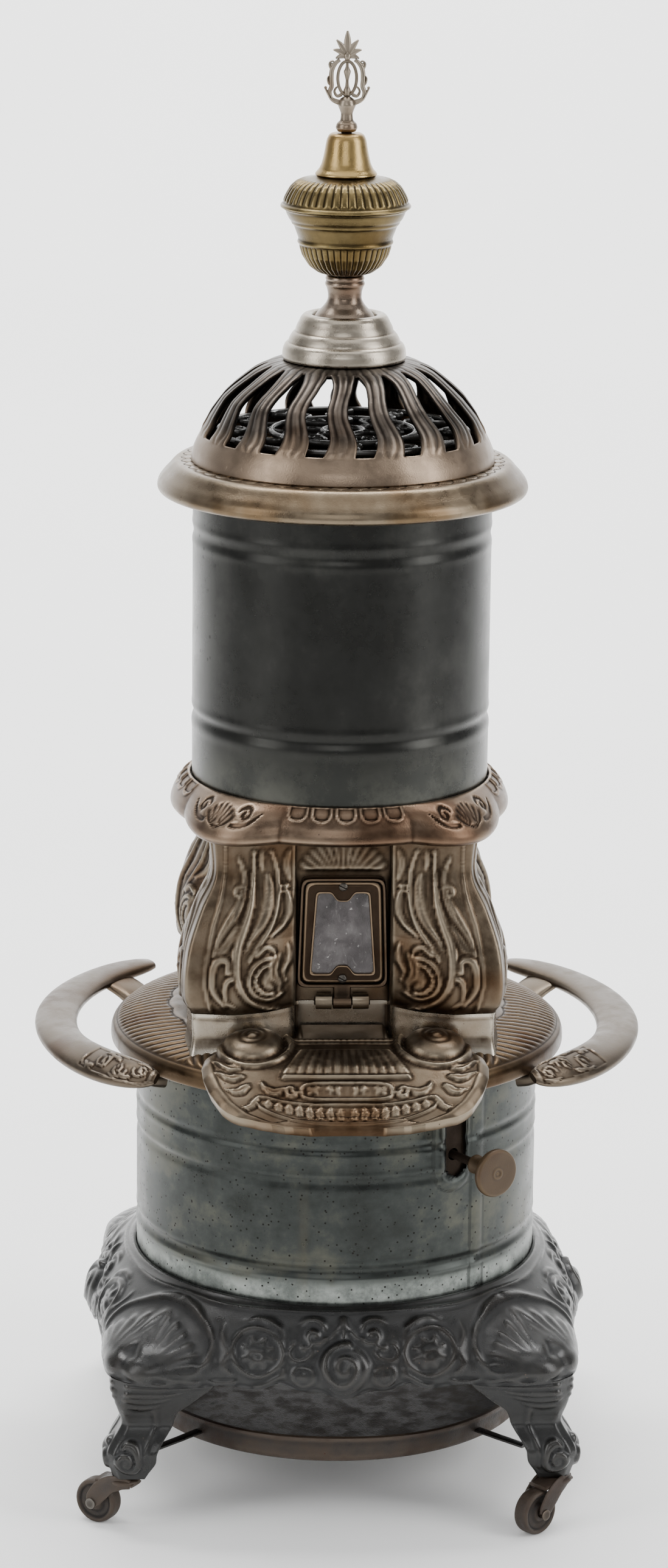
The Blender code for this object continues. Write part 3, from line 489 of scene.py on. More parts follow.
def spirePiece():
    s = spireSizes
    base = rounded([(0.3, 958.0), (6.0, 958.1), (7.6, 960.7), (6.9, 963.8), (4.4, 966.0), (4.0, 970.5), (4.9, 973.0),
                    (6.4, 976.4), (5.4, 980.0), (2.4, 982.2), (0.3, 982.6)], 0.6)
    spindle = rounded([(0.3, 981.0), (1.6, 982.5), (2.7, 986.0), (1.4, 989.0), (1.0, 993.0), (1.9, 996.5), (2.6, 999.0),
                       (1.2, 1002.0), (1.0, 1006.0), (2.4, 1008.0), (2.8, 1010.0), (1.4, 1012.4), (0.3, 1012.8)], 0.5)
    parts = [(turnedGrid(base, 28), False), (turnedGrid(spindle, 20), False)]
    turn = np.linspace(-0.5 * math.pi, 1.5 * math.pi, 61)
    hoop = np.stack([s["hoopAcross"] * np.cos(turn), s["hoopCentre"] + s["hoopTall"] * np.sin(turn)], axis=1)
    parts.append((sweep(hoop, s["wire"], 1.5), False))
    for side in (-1, 1):
        def strand(points, wide, deep=1.6, side=side):
            line = through(points, 36)
            line[:, 0] *= side
            return sweep(line, wide, deep), False
        swell = np.sin(math.pi * np.linspace(0.03, 0.97, 36)) ** 0.6
        fade = np.linspace(1.0, 0.25, 36)
        parts.append(strand([(1.5, 977.0), (6.0, 978.2), (10.0, 980.0), (12.6, 983.6), (14.9, 987.6)], 2.1 * fade + 0.2))
        parts.append(strand([(11.0, 981.0), (11.9, 985.0), (10.6, 989.0), (10.9, 994.0), (10.4, 1000.0), (8.0, 1004.6),
                             (5.0, 1007.0)], 1.1 + 0.6 * swell))
        parts.append(strand([(9.6, 989.5), (12.4, 991.0), (13.2, 994.6), (11.6, 996.8)], 1.3 * fade, 1.3))
        parts.append(strand([(8.6, 1001.6), (11.2, 1001.4), (12.0, 1004.4), (10.2, 1006.2), (8.8, 1004.6)], 1.1 * fade + 0.2,
                            1.3))
        parts.append(strand([(3.4, 983.4), (6.8, 982.4), (8.6, 985.6), (6.6, 988.6), (4.8, 986.6)], 1.1 * fade + 0.2, 1.3))
        parts.append((ball((side * 10.2, 0, 1003.4), 1.5), False))
        parts.append((ball((side * 14.7, 0, 988.0), 1.1), False))
    for turned, length, wide in ((0, 18.0, 2.3), (27, 14.0, 1.8), (-27, 14.0, 1.8), (52, 11.0, 1.6), (-52, 11.0, 1.6),
                                 (80, 8.0, 1.4), (-80, 8.0, 1.4)):
        t = np.linspace(0.0, 1.0, 24)
        lean = math.radians(turned)
        curl = lean * (0.75 + 0.45 * t)
        leaf = np.stack([length * t * np.sin(curl), s["hub"] + 0.6 + length * t * np.cos(curl)], axis=1)
        parts.append((sweep(leaf, 0.3 + wide * np.sin(math.pi * (0.12 + 0.84 * t)) ** 0.9, 1.1), False))
    spire = addPiece("spire", parts, "dome_top", spireNickel, ("finial_spire",))
    return spire


# the urn: bell, fluted lid, fluted bowl, stem and stepped collar, all turned about the axis

urnSizes = {"bore": 4.0, "lidFlutes": 46, "bowlFlutes": 42, "fluteDepth": 1.0}


def fluted(count, deep, low, high, blend=3.0):
    # rounded flutes: |cos| of half the count times the angle, faded in and out over the height
    def relief(angle, z, radius):
        share = eased((z - low) / blend) * eased((high - z) / blend)
        return deep * share * (np.abs(np.cos(count * angle / 2)) ** 0.8 - 0.55)
    return relief


def urnPieces():
    s = urnSizes
    bore = s["bore"]
    turnedPiece("urnBell", [(bore, 928.6), (21.2, 928.6), (21.5, 929.6), (20.4, 931.0), (18.6, 933.0), (17.0, 936.4),
                            (15.9, 940.6), (15.0, 945.0), (14.2, 949.6), (13.4, 953.4), (12.0, 956.2), (10.0, 957.4),
                            (bore, 957.4)], [(bore, 957.0), (bore, 929.0)], 96,
                "dome_top", brassBell, ("urn_bell",), 0.6)
    turnedPiece("urnLid", [(40.5, 906.4), (44.6, 906.3), (45.2, 907.6), (44.2, 909.0), (42.9, 909.6), (42.8, 911.2),
                           (41.6, 914.2), (40.0, 917.2), (37.9, 920.6), (34.6, 923.6), (30.0, 925.8), (24.0, 926.8),
                           (21.0, 927.6), (20.4, 928.4), (bore, 928.4)],
                [(bore, 928.0), (bore, 925.4), (32.0, 921.5), (39.6, 911.5), (40.4, 907.4)], s["lidFlutes"] * 8,
                "dome_top", brassAged, ("urn_lid",), 0.6,
                fluted(s["lidFlutes"], s["fluteDepth"], 910.2, 926.6, 2.0))
    turnedPiece("urnBowl", [(bore, 860.2), (13.6, 860.2), (18.0, 861.8), (24.7, 866.6), (29.4, 873.6), (31.0, 878.4),
                            (31.6, 881.2), (32.9, 882.0), (33.2, 883.4), (32.2, 884.6), (32.9, 887.0), (34.7, 891.6),
                            (35.6, 894.4), (37.2, 895.4), (37.4, 897.2), (38.9, 898.6), (40.6, 902.0), (41.4, 904.6),
                            (43.0, 905.4), (43.4, 906.0), (40.6, 906.1)],
                [(40.2, 905.6), (33.4, 896.0), (26.6, 876.0), (13.0, 863.4), (bore, 863.0), (bore, 861.0)],
                s["bowlFlutes"] * 8, "dome_top", brassAged, ("urn_bowl",), 0.6,
                fluted(s["bowlFlutes"], s["fluteDepth"], 861.0, 881.6, 2.0))
    turnedPiece("urnStem", [(bore, 829.6), (21.4, 829.6), (21.0, 831.2), (18.4, 834.6), (15.0, 838.0), (12.8, 841.0),
                            (11.6, 844.0), (11.8, 848.0), (12.6, 851.4), (13.8, 853.4), (13.8, 855.0), (12.6, 856.0),
                            (13.7, 857.4), (12.8, 859.8), (bore, 859.8)], [(bore, 859.0), (bore, 830.2)], 96, "dome_top",
                stemNickel, ("urn_stem",), 0.6)
    turnedPiece("urnCollar", [(38.6, 801.5), (42.4, 801.6), (42.9, 804.0), (42.6, 808.4), (41.4, 811.8), (39.6, 813.6),
                              (38.8, 813.6), (38.5, 815.4), (36.8, 818.6), (35.2, 820.6), (34.0, 821.2), (33.8, 822.6),
                              (33.0, 825.0), (31.6, 827.6), (30.4, 830.4), (28.4, 832.8), (25.6, 833.6), (22.6, 832.8),
                              (21.6, 829.6), (bore, 829.3)],
                [(bore, 828.6), (bore, 825.0), (26.0, 824.5), (32.0, 817.0), (38.0, 807.0), (38.4, 802.6)], 128,
                "dome_top", nickelBright, ("urn_collar",), 0.6)


# the dome: eighteen ribs between slots that wave and narrow upwards, drawn as one sheet with the slots left
# open and given its thickness afterwards

domeSizes = {"slots": 18, "firstSlot": 6.0, "slotHalf": 6.4, "slotLow": 750.5, "slotHigh": 798.0, "wall": 3.2,
             "ribCols": 14, "slotCols": 3, "wave": 2.6, "lineDepth": 0.35}


def domePiece():
    s = domeSizes
    profile = rounded([(105.6, 731.3), (105.4, 734.0), (104.4, 739.0), (101.6, 745.5), (99.0, 750.4), (95.6, 756.2),
                       (92.1, 763.0), (87.7, 769.2), (82.6, 776.0), (76.0, 782.2), (67.6, 789.0), (62.3, 793.0),
                       (56.6, 796.2), (49.8, 799.4), (44.0, 800.9), (36.0, 801.3)], 1.0, 3)
    r, z = profile[:, 0][:, None], profile[:, 1][:, None]
    climb = np.clip((z - s["slotLow"]) / (s["slotHigh"] - s["slotLow"]), 0, 1)
    half = np.interp(climb, [0, 0.25, 0.5, 0.72, 0.9, 1], [6.4, 7.2, 7.4, 6.2, 3.8, 1.0])
    half = np.where(z < s["slotLow"], s["slotHalf"], half)
    pitch = tau / s["slots"]
    halfAngle = half / r
    drift = s["wave"] * np.sin(tau * 1.3 * climb) * (1 - climb) ** 0.3 / r
    ribShare = np.linspace(0, 1, s["ribCols"], endpoint=False)[None, :]
    slotShare = np.linspace(0, 1, s["slotCols"], endpoint=False)[None, :]
    ribAngle = halfAngle + ribShare * (pitch - 2 * halfAngle)
    slotAngle = pitch - halfAngle + slotShare * 2 * halfAngle
    cell = np.hstack([ribAngle, slotAngle]) + drift
    cellCols = cell.shape[1]
    start = math.radians(s["firstSlot"]) - math.pi / 2
    angle = np.hstack([cell + start + pitch * k for k in range(s["slots"])])
    grid = np.stack([r * np.cos(angle), r * np.sin(angle), z + 0 * angle], axis=2)
    # each rib is rounded across and has two incised lines that come together at the slot's foot
    across = np.hstack([2 * ribShare - 1 + 0 * z, np.full((len(z), s["slotCols"]), 1.2)])
    across = np.tile(across, (1, s["slots"]))
    open_ = eased((z - s["slotLow"] + 2) / 5.0) * eased((s["slotHigh"] + 6 - z) / 10.0)
    apart = 0.42 * eased((z - s["slotLow"] + 6.0) / 12.0) + 0.03
    lines = np.exp(-(((np.abs(across) - apart) / 0.16) ** 2)) * eased((z - s["slotLow"] + 7.0) / 3.0)
    crown = np.where(np.abs(across) <= 1, 1.3 * np.sqrt(np.clip(1 - 0.92 * across**2, 0, 1)), 0.36)
    height = crown * open_ - s["lineDepth"] * 1.6 * lines * open_**0.3 * (np.abs(across) <= 1)
    grid = raisedBy(grid, height)
    relief = reliefOf(grid, False, 2)
    rows, cols = grid.shape[:2]
    quads, _ = facesOf(rows, cols, False)
    quads = quads.reshape(rows - 1, cols, 4)
    column = np.arange(cols) % cellCols
    middle = (profile[:-1, 1] + profile[1:, 1]) / 2
    slotRows = (middle > s["slotLow"]) & (middle < s["slotHigh"])
    keep = ~((column >= s["ribCols"])[None, :] & slotRows[:, None])
    mesh = bpy.data.meshes.new("dome")
    mesh.from_pydata((grid.reshape(-1, 3) * mm).tolist(), [], quads[keep].tolist())
    used = np.zeros(rows * cols, bool)
    used[quads[keep].reshape(-1)] = True
    dome = finished("dome", mesh, relief.reshape(-1), "dome_top", nickelSmoked, ("dome_grille",))
    wall = dome.modifiers.new("wall", "SOLIDIFY")
    wall.thickness = s["wall"] * mm
    wall.offset = -1.0
    loose = np.flatnonzero(~used)
    if len(loose):
        bm = bmesh.new()
        bm.from_mesh(mesh)
        bm.verts.ensure_lookup_table()
        bmesh.ops.delete(bm, geom=[bm.verts[int(k)] for k in loose], context="VERTS")
        bm.to_mesh(mesh)
        bm.free()
    lug = sweep([(0, 112, 737), (0, 107, 737.2), (0, 101, 737.6)], 3.6, 7.6, (1, 0, 0), 16, 3.0)
    addPiece("domeLug", [(lug, False)], "dome_top", nickelSmoked)
    return dome


# the ring under the dome: a smooth roll outside, and on its flat top a chain of lens outlines

topRingSizes = {"lenses": 52, "lensAt": 107.6, "lensHalf": 4.6, "hingeY": 112.0, "hingeZ": 737.0}


def topRingPiece():
    s = topRingSizes

    def relief(angle, z, radius):
        pitch = tau / s["lenses"]
        u = (np.mod(angle, pitch) - pitch / 2) / (pitch / 2)
        edge = s["lensHalf"] * (1 - u**2)
        away = np.abs(np.abs(radius - s["lensAt"]) - edge)
        flat = (z > 729.4) & (radius > 100.5)
        bulge = 0.35 * (np.abs(radius - s["lensAt"]) < edge) * (1 - ((radius - s["lensAt"]) / (edge + 0.01)) ** 2)
        return np.where(flat, bulge - 0.5 * np.exp(-((away / 0.55) ** 2)), 0.0)

    outer = [(104.9, 706.0), (109.0, 706.4), (118.0, 707.6), (125.0, 708.8), (128.2, 710.4), (129.2, 713.4), (128.2, 717.4),
             (125.6, 721.0), (121.6, 725.2), (118.4, 729.0), (116.0, 730.7), (113.0, 731.0), (100.2, 731.0), (99.9, 730.4),
             (99.9, 727.3), (92.2, 727.2)]
    inner = [(92.2, 726.6), (94.2, 708.6), (104.7, 708.4), (104.9, 706.6)]
    line, shown = ringLine(outer, inner, 0.9)
    cols = s["lenses"] * 10
    grid = turnedGrid(line, cols)
    height = np.zeros(grid.shape[:2])
    height[:shown] = relief(np.arange(cols)[None, :] * tau / cols, line[:shown, 1][:, None], line[:shown, 0][:, None])
    parts = [(raisedBy(grid, height, True), True)]
    y, z = s["hingeY"], s["hingeZ"]
    for side in (-1, 1):
        ear = [(side * 11.8, y, z - 11.0), (side * 11.8, y, z - 4.0), (side * 11.8, y, z + 4.4)]
        parts.append((sweep(ear, np.array([5.0, 4.6, 3.0]), 3.0, (1, 0, 0), 16, 3.0), False))
    return addPiece("topRing", parts, "stove", nickelRing, ("top_ring",))


# the trivet under the dome: two rings, a hub and S scrolls between them

trivetSizes = {"top": 753.0, "thick": 4.6, "outer": 86.0, "middle": 50.0, "hub": 14.0, "scrolls": 12}


def trivetPiece():
    s = trivetSizes
    level = s["top"] - s["thick"] / 2
    parts = []
    for radius, half in ((s["outer"], 2.6), (s["middle"], 2.2), (s["hub"], 2.6)):
        turn = np.linspace(0, tau, 65)[:-1]
        section = np.stack([radius + half * np.cos(turn[::6]), level + s["thick"] / 2 * np.sin(turn[::6])], axis=1)
        parts.append((turnedGrid(section, 90), True))
    for k in range(s["scrolls"]):
        turn = tau * k / s["scrolls"]
        hand = 1 if k % 2 else -1
        for inside, outside, bow in ((s["hub"], s["middle"], 7.0), (s["middle"], s["outer"], 9.0)):
            t = np.linspace(0, 1, 30)
            radius = inside + (outside - inside) * t
            off = hand * bow * np.sin(tau * t)
            path = np.stack([radius, off, np.full(30, level)], axis=1)
            parts.append((placed(sweep(path, 1.9, s["thick"] / 2, (0, 0, 1), 8), turn), False))
            curl = spiral((inside + 0.62 * (outside - inside), hand * bow * 0.2), 6.5, 1.6, 40 * hand, 1.1 * hand, 26)
            path = np.column_stack([curl, np.full(26, level)])
            parts.append((placed(sweep(path, 1.4, s["thick"] / 2, (0, 0, 1), 8), turn), False))
    for k in range(4):
        turn = math.radians(45 + 90 * k)
        leg = [(85.5, 0, 752.0), (86.0, 0, 744.0), (88.5, 0, 734.0), (96.5, 0, 729.4)]
        parts.append((placed(sweep(through(leg, 14), 2.2, 4.6, (0, 1, 0), 10, 3.0), turn), False))
    return addPiece("trivet", parts, "stove", blackIron, ("cooking_trivet",))


spirePiece()
urnPieces()
domePiece()
topRingPiece()
trivetPiece()
print("top made")


# sheet drums with rolled beads

def drumPiece():
    wall = 1.2
    outer = [(104.3, 505.0), (104.3, 541.0), (104.9, 545.5), (104.5, 549.0), (103.1, 551.6), (103.0, 554.4),
             (104.4, 556.6), (104.9, 558.6), (104.3, 562.0), (104.3, 672.0), (104.8, 675.4), (104.3, 678.0),
             (103.4, 680.4), (103.8, 684.4), (104.9, 687.6), (104.3, 691.0), (104.3, 707.8)]
    inner = [(r - wall, z) for r, z in reversed(outer)]
    return turnedPiece("drum", outer, inner, 180, "stove", bluedSteel, ("upper_drum",), 1.2, passes=3)


# materials of the two sheet drums: colour by clouds, scratches and speckles, lighter towards one end

def sheetMetal(name, s):
    # streaked and mottled sheet: two tones in clouds stretched along the height or round the drum,
    # a pale band between two heights, partly wear and partly a painted highlight, painted shade in the
    # bead grooves, dark specks and a few warm stains
    t = Tree(name)
    clouds = t.noise(s["cloudScale"], 5.0, 0.62, s["cloudStretch"])
    mottle = t.noise(s["mottleScale"], 6.0, 0.68)
    streak = t.noise(s["streakScale"], 4.0, 0.6, (1.0, 1.0, 0.12))
    fine = t.noise(700.0, 2.0)
    height = t.axis("Z")
    share = t.spread(t.math("ADD", t.math("MULTIPLY", clouds, 0.6), t.math("MULTIPLY", mottle, 0.4)), s["low"], s["high"])
    colour = t.ramp(share, [(0.0, s["dark"]), (0.5, s["middle"]), (1.0, s["light"])])
    edge = t.math("ADD", height, t.math("MULTIPLY", t.math("SUBTRACT", mottle, 0.5), s["bandWander"]))
    # the pale band at the foot of the sheet: partly wear and partly a painted highlight
    band = t.spread(edge, s["bandTop"], s["bandTop"] - s["bandBlend"], 0.0, s["bandMost"])
    wearAndHighlight = t.mix(t.spread(mottle, 0.35, 0.7), s["bandDark"], s["bandLight"])
    colour = t.mix(band, colour, wearAndHighlight)
    colour = t.mix(t.spread(streak, 0.58, 0.8, 0.0, s["streakMost"]), colour, s["streak"])
    specks = t.math("MULTIPLY", t.spread(t.spots(s["speckScale"]), 0.20, 0.10), t.spread(clouds, s["speckFrom"], s["speckFrom"] + 0.1))
    colour = t.mix(t.math("MULTIPLY", specks, s["speckMost"]), colour, s["speck"])
    # painted shade: darker where the relief is low, in the grooves of the beads
    proud = t.attribute("relief")
    colour = t.mix(t.spread(proud, 0.47, 0.38, 0.0, 0.6), colour, s["dark"])
    rough = t.math("ADD", t.spread(mottle, 0.3, 0.7, s["roughLow"], s["roughHigh"]), t.math("MULTIPLY", specks, 0.2))
    return t.finish(colour, s["metal"], rough, t.bump(fine, 0.06, 0.0003))


bluedSteel = sheetMetal("bluedSteel", {
    "cloudScale": 9.0, "cloudStretch": (1.0, 1.0, 0.5), "mottleScale": 26.0, "streakScale": 16.0, "low": 0.36, "high": 0.68,
    "dark": rgb(33, 33, 31), "middle": rgb(40, 40, 38), "light": rgb(54, 54, 51),
    "bandTop": 0.558, "bandBlend": 0.05, "bandWander": 0.06, "bandMost": 0.75,
    "bandDark": rgb(52, 53, 50), "bandLight": rgb(88, 88, 81), "streak": rgb(62, 57, 49), "streakMost": 0.35,
    "speck": rgb(28, 26, 25), "speckScale": 120.0, "speckFrom": 0.55, "speckMost": 0.5,
    "roughLow": 0.24, "roughHigh": 0.36, "metal": 0.85,
})
galvanised = sheetMetal("galvanised", {
    "cloudScale": 7.0, "cloudStretch": (1.0, 1.0, 1.6), "mottleScale": 42.0, "streakScale": 30.0, "low": 0.36, "high": 0.66,
    "dark": rgb(40, 42, 40), "middle": rgb(54, 57, 55), "light": rgb(78, 78, 70),
    "bandTop": 0.182, "bandBlend": 0.012, "bandWander": 0.02, "bandMost": 0.95,
    "bandDark": rgb(84, 88, 85), "bandLight": rgb(150, 155, 150), "streak": rgb(80, 75, 62), "streakMost": 0.4,
    "speck": rgb(30, 28, 26), "speckScale": 210.0, "speckFrom": 0.30, "speckMost": 1.0,
    "roughLow": 0.26, "roughHigh": 0.42, "metal": 0.9,
})


# the tank casing: a beaded drum with a slot for the wick shaft, a pressed rim round the slot's foot
# and a lapped seam

tankSizes = {"radius": 143.0, "low": 150.3, "high": 327.0, "cols": 360, "wall": 1.2, "knobAzimuth": 33.5,
             "slotHalf": 8.6, "slotLow": 246.8, "seamAzimuth": 39.6}


def fromFront(azimuth):
    # the angle from +X of a place so many degrees round from the front towards +X
    return math.radians(azimuth) - math.pi / 2


def tankPiece():
    s = tankSizes
    r = s["radius"]
    profile = rounded([(r, s["low"]), (r, 176.0), (r + 0.9, 179.0), (r - 0.6, 182.0), (r - 1.5, 184.5), (r - 0.4, 188.0),
                       (r + 0.5, 190.0), (r, 193.0), (r, 244.0), (r - 0.9, 248.0), (r - 1.2, 250.5), (r + 0.6, 254.0),
                       (r, 257.0), (r, 266.0), (r + 0.7, 269.0), (r - 0.5, 271.5), (r - 1.2, 273.5), (r + 0.2, 277.0),
                       (r, 280.0), (r, 306.0), (r - 0.8, 310.0), (r + 0.4, 314.0), (r, 317.0), (r, s["high"])], 1.25, 2)
    grid = turnedGrid(profile, s["cols"])
    angle = np.arange(s["cols"])[None, :] * tau / s["cols"]
    off = np.mod(angle - fromFront(s["knobAzimuth"]) + math.pi, tau) - math.pi
    u = off * r + 0 * profile[:, 1][:, None]
    z = profile[:, 1][:, None] + 0 * u
    height = np.zeros_like(u)
    # a pressed U beside and under the slot, with its foot well to the left of the hole
    rim = through([(-13.5, 330), (-13.5, 290), (-13.2, 256), (-10.4, 245), (-2.0, 240.5), (6.5, 244.5), (9.8, 252)], 80)
    ridge(height, u, z, rim, 4.2, 1.5)
    seam = (np.mod(angle - fromFront(s["seamAzimuth"]) + math.pi, tau) - math.pi) * r
    height = height + 0.9 * eased((seam + 0.3) / 0.9) * eased((9.0 - seam) / 0.9)
    grid = raisedBy(grid, height)
    relief = reliefOf(grid, False, 2, 1.2)
    rows, cols = grid.shape[:2]
    quads, _ = facesOf(rows, cols, False)
    centre = grid.reshape(-1, 3)[quads].mean(1)
    turn = np.arctan2(centre[:, 1], centre[:, 0]) - fromFront(s["knobAzimuth"])
    u = (np.mod(turn + math.pi, tau) - math.pi) * r
    z = centre[:, 2]
    foot = s["slotLow"] + s["slotHalf"]
    inSlot = (np.abs(u) < s["slotHalf"]) & ((z > foot) | (np.hypot(u, z - foot) < s["slotHalf"]))
    mesh = bpy.data.meshes.new("tankCasing")
    flat, keep = grid.reshape(-1, 3), quads[~inSlot]
    used, again = np.unique(keep, return_inverse=True)
    mesh.from_pydata((flat[used] * mm).tolist(), [], again.reshape(-1, 4).tolist())
    casing = finished("tankCasing", mesh, relief.reshape(-1)[used], "stove", galvanised,
                      ("tank_casing",))
    wall = casing.modifiers.new("wall", "SOLIDIFY")
    wall.thickness = s["wall"] * mm
    wall.offset = -1.0
    return casing


# the waist ring: a sloping roof over the casing with a lobe at each diagonal, tongues over the bays and
# shells on the lobes

waistSizes = {"lobe": 11.0, "droop": 4.5, "tonguePitch": 17.0, "cols": 540}


def waistPiece():
    s = waistSizes
    outer = [(105.0, 504.6), (105.0, 508.4), (106.4, 509.0), (108.0, 507.6), (111.0, 505.0), (114.6, 500.6), (117.6, 495.4),
             (119.3, 490.2), (119.4, 486.4), (117.0, 483.4), (114.0, 482.6), (110.0, 483.6), (105.0, 486.0)]
    inner = [(96.0, 485.4), (82.2, 482.4), (82.2, 485.8), (90.0, 485.8), (96.0, 504.2)]
    line, shown = ringLine(outer, inner, 0.9, 3.0)
    angle = np.arange(s["cols"])[None, :] * tau / s["cols"]
    lobe = np.clip(-np.cos(4 * angle), 0, 1) ** 1.1
    r, z = line[:, 0][:, None], line[:, 1][:, None]
    follow = np.clip((r - 106.0) / 10.0, 0, 1)
    radius = r + follow * s["lobe"] * lobe
    low = z - follow**2 * s["droop"] * lobe * (z > 481)
    grid = np.stack([radius * np.cos(angle), radius * np.sin(angle), low + 0 * angle], axis=2)
    slant = np.concatenate([[0], np.cumsum(np.hypot(*np.diff(line, axis=0).T))])[:, None]
    height = np.zeros(grid.shape[:2])
    bay = np.mod(angle + math.pi / 4, math.pi / 2) - math.pi / 4
    u = bay * 112.0 + 0 * slant
    v = slant - 5.0 + 0 * u
    folded = np.mod(u + s["tonguePitch"] / 2, s["tonguePitch"]) - s["tonguePitch"] / 2
    fields = np.abs(u) < 2.5 * s["tonguePitch"]
    tongue = np.zeros_like(u)
    outline = through([(-6.6, 1.0), (-6.4, 6.5), (-4.6, 10.6), (0, 12.4), (4.6, 10.6), (6.4, 6.5), (6.6, 1.0)], 60)
    away = np.sqrt(((folded[:shown, :, None] - outline[:, 0]) ** 2 + (v[:shown, :, None] - outline[:, 1]) ** 2).min(2))
    inside = (np.abs(folded) < 6.4) & (v > 1.0) & (v < 10.5)
    tongue[:shown] = -0.7 * np.exp(-((away / 0.8) ** 2))
    tongue += 0.5 * inside * np.sqrt(np.clip(1 - (folded / 6.6) ** 2, 0, 1))
    height += np.where(fields, tongue, 0)
    # on each lobe a shell of seven ribs flanked by curls
    corner = np.mod(angle, math.pi / 2) - math.pi / 4
    cu = np.abs(corner) * 118.0 + 0 * slant
    leaf = np.zeros_like(cu)
    shell(leaf, corner * 118.0 + 0 * slant, v, (0.0, 18.5), -90, 15.0, 62, 7, 1.0)
    ridge(leaf, cu, v, spiral((19.5, 8.5), 5.5, 1.2, 200, 1.1), 1.3, 0.9)
    ridge(leaf, cu, v, through([(10, 14.0), (17, 14.6), (26, 12.0), (33, 6.0)], 30), leafWidths(30, 2.2), 0.9)
    height += np.where(np.arange(len(line))[:, None] < shown, leaf, 0) * (v > 0.5) * (v < 24)
    return addPiece("waistRing", [(raisedBy(grid, height, True), True)], "stove", nickelCopper,
                    ("waist_ring",))


# the burner casing: four consoles between four flat bays. Every point has a place across its bay's face
# (lateral) and how far out it lies (depth)

casingSizes = {"low": 361.4, "high": 481.6, "bayHalf": 33.0, "bayDepth": 74.0, "flat": 76.0, "wall": 4.0,
               "counts": (20, 10, 14, 16, 24), "rows": 92}


def standOut(z):
    # how far the consoles stand out at a height: a belly low down and a waist under the ring
    belly = through([(361.3, 109.0), (370.0, 113.3), (388.0, 114.0), (410.0, 110.8), (434.0, 102.4), (455.0, 92.8),
                     (481.6, 93.6)], 240)
    return np.interp(z, belly[:, 0], belly[:, 1])


def consoleGrid(z, front, inset=0.0, passes=5):
    # half of one bay's face from its middle to the corner, mirrored and turned round the four bays
    s = casingSizes
    edge, wall, stand = s["bayHalf"] + inset, s["bayDepth"] - inset, front - inset
    recede = 22.0 * np.clip((front - 84.0) / 26.0, 0, 1)
    flat = np.minimum(s["flat"], stand - 12.0)
    knots = [(0 * stand, wall + 0 * stand), (edge + 0 * stand, wall + 0 * stand), (edge + 0.6 + 0 * stand, stand - recede),
             (52.0 + 0 * stand, stand - 0.35 * recede), (flat, stand), (stand - 4.0, stand - 4.0)]
    lateral, depth = [], []
    for (l0, d0), (l1, d1), count in zip(knots, knots[1:], s["counts"]):
        share = np.arange(count) / count
        lateral.append(l0[:, None] + (l1 - l0)[:, None] * share)
        depth.append(d0[:, None] + (d1 - d0)[:, None] * share)
    lateral.append(knots[-1][0][:, None])
    depth.append(knots[-1][1][:, None])
    lateral, depth = np.hstack(lateral), np.hstack(depth)
    lateral = np.hstack([-lateral[:, :0:-1], lateral[:, :-1]])
    depth = np.hstack([depth[:, :0:-1], depth[:, :-1]])
    x, y = [], []
    for turn in range(4):
        c, sn = math.cos(turn * math.pi / 2), math.sin(turn * math.pi / 2)
        x.append(lateral * c + depth * sn)
        y.append(lateral * sn - depth * c)
    x, y = np.hstack(x), np.hstack(y)
    for _ in range(passes):
        x = (np.roll(x, 1, 1) + 2 * x + np.roll(x, -1, 1)) / 4
        y = (np.roll(y, 1, 1) + 2 * y + np.roll(y, -1, 1)) / 4
    grid = np.stack([x, y, z[:, None] + 0 * x], axis=2)
    return grid, np.tile(np.abs(lateral), (1, 4)), np.tile(depth, (1, 4))


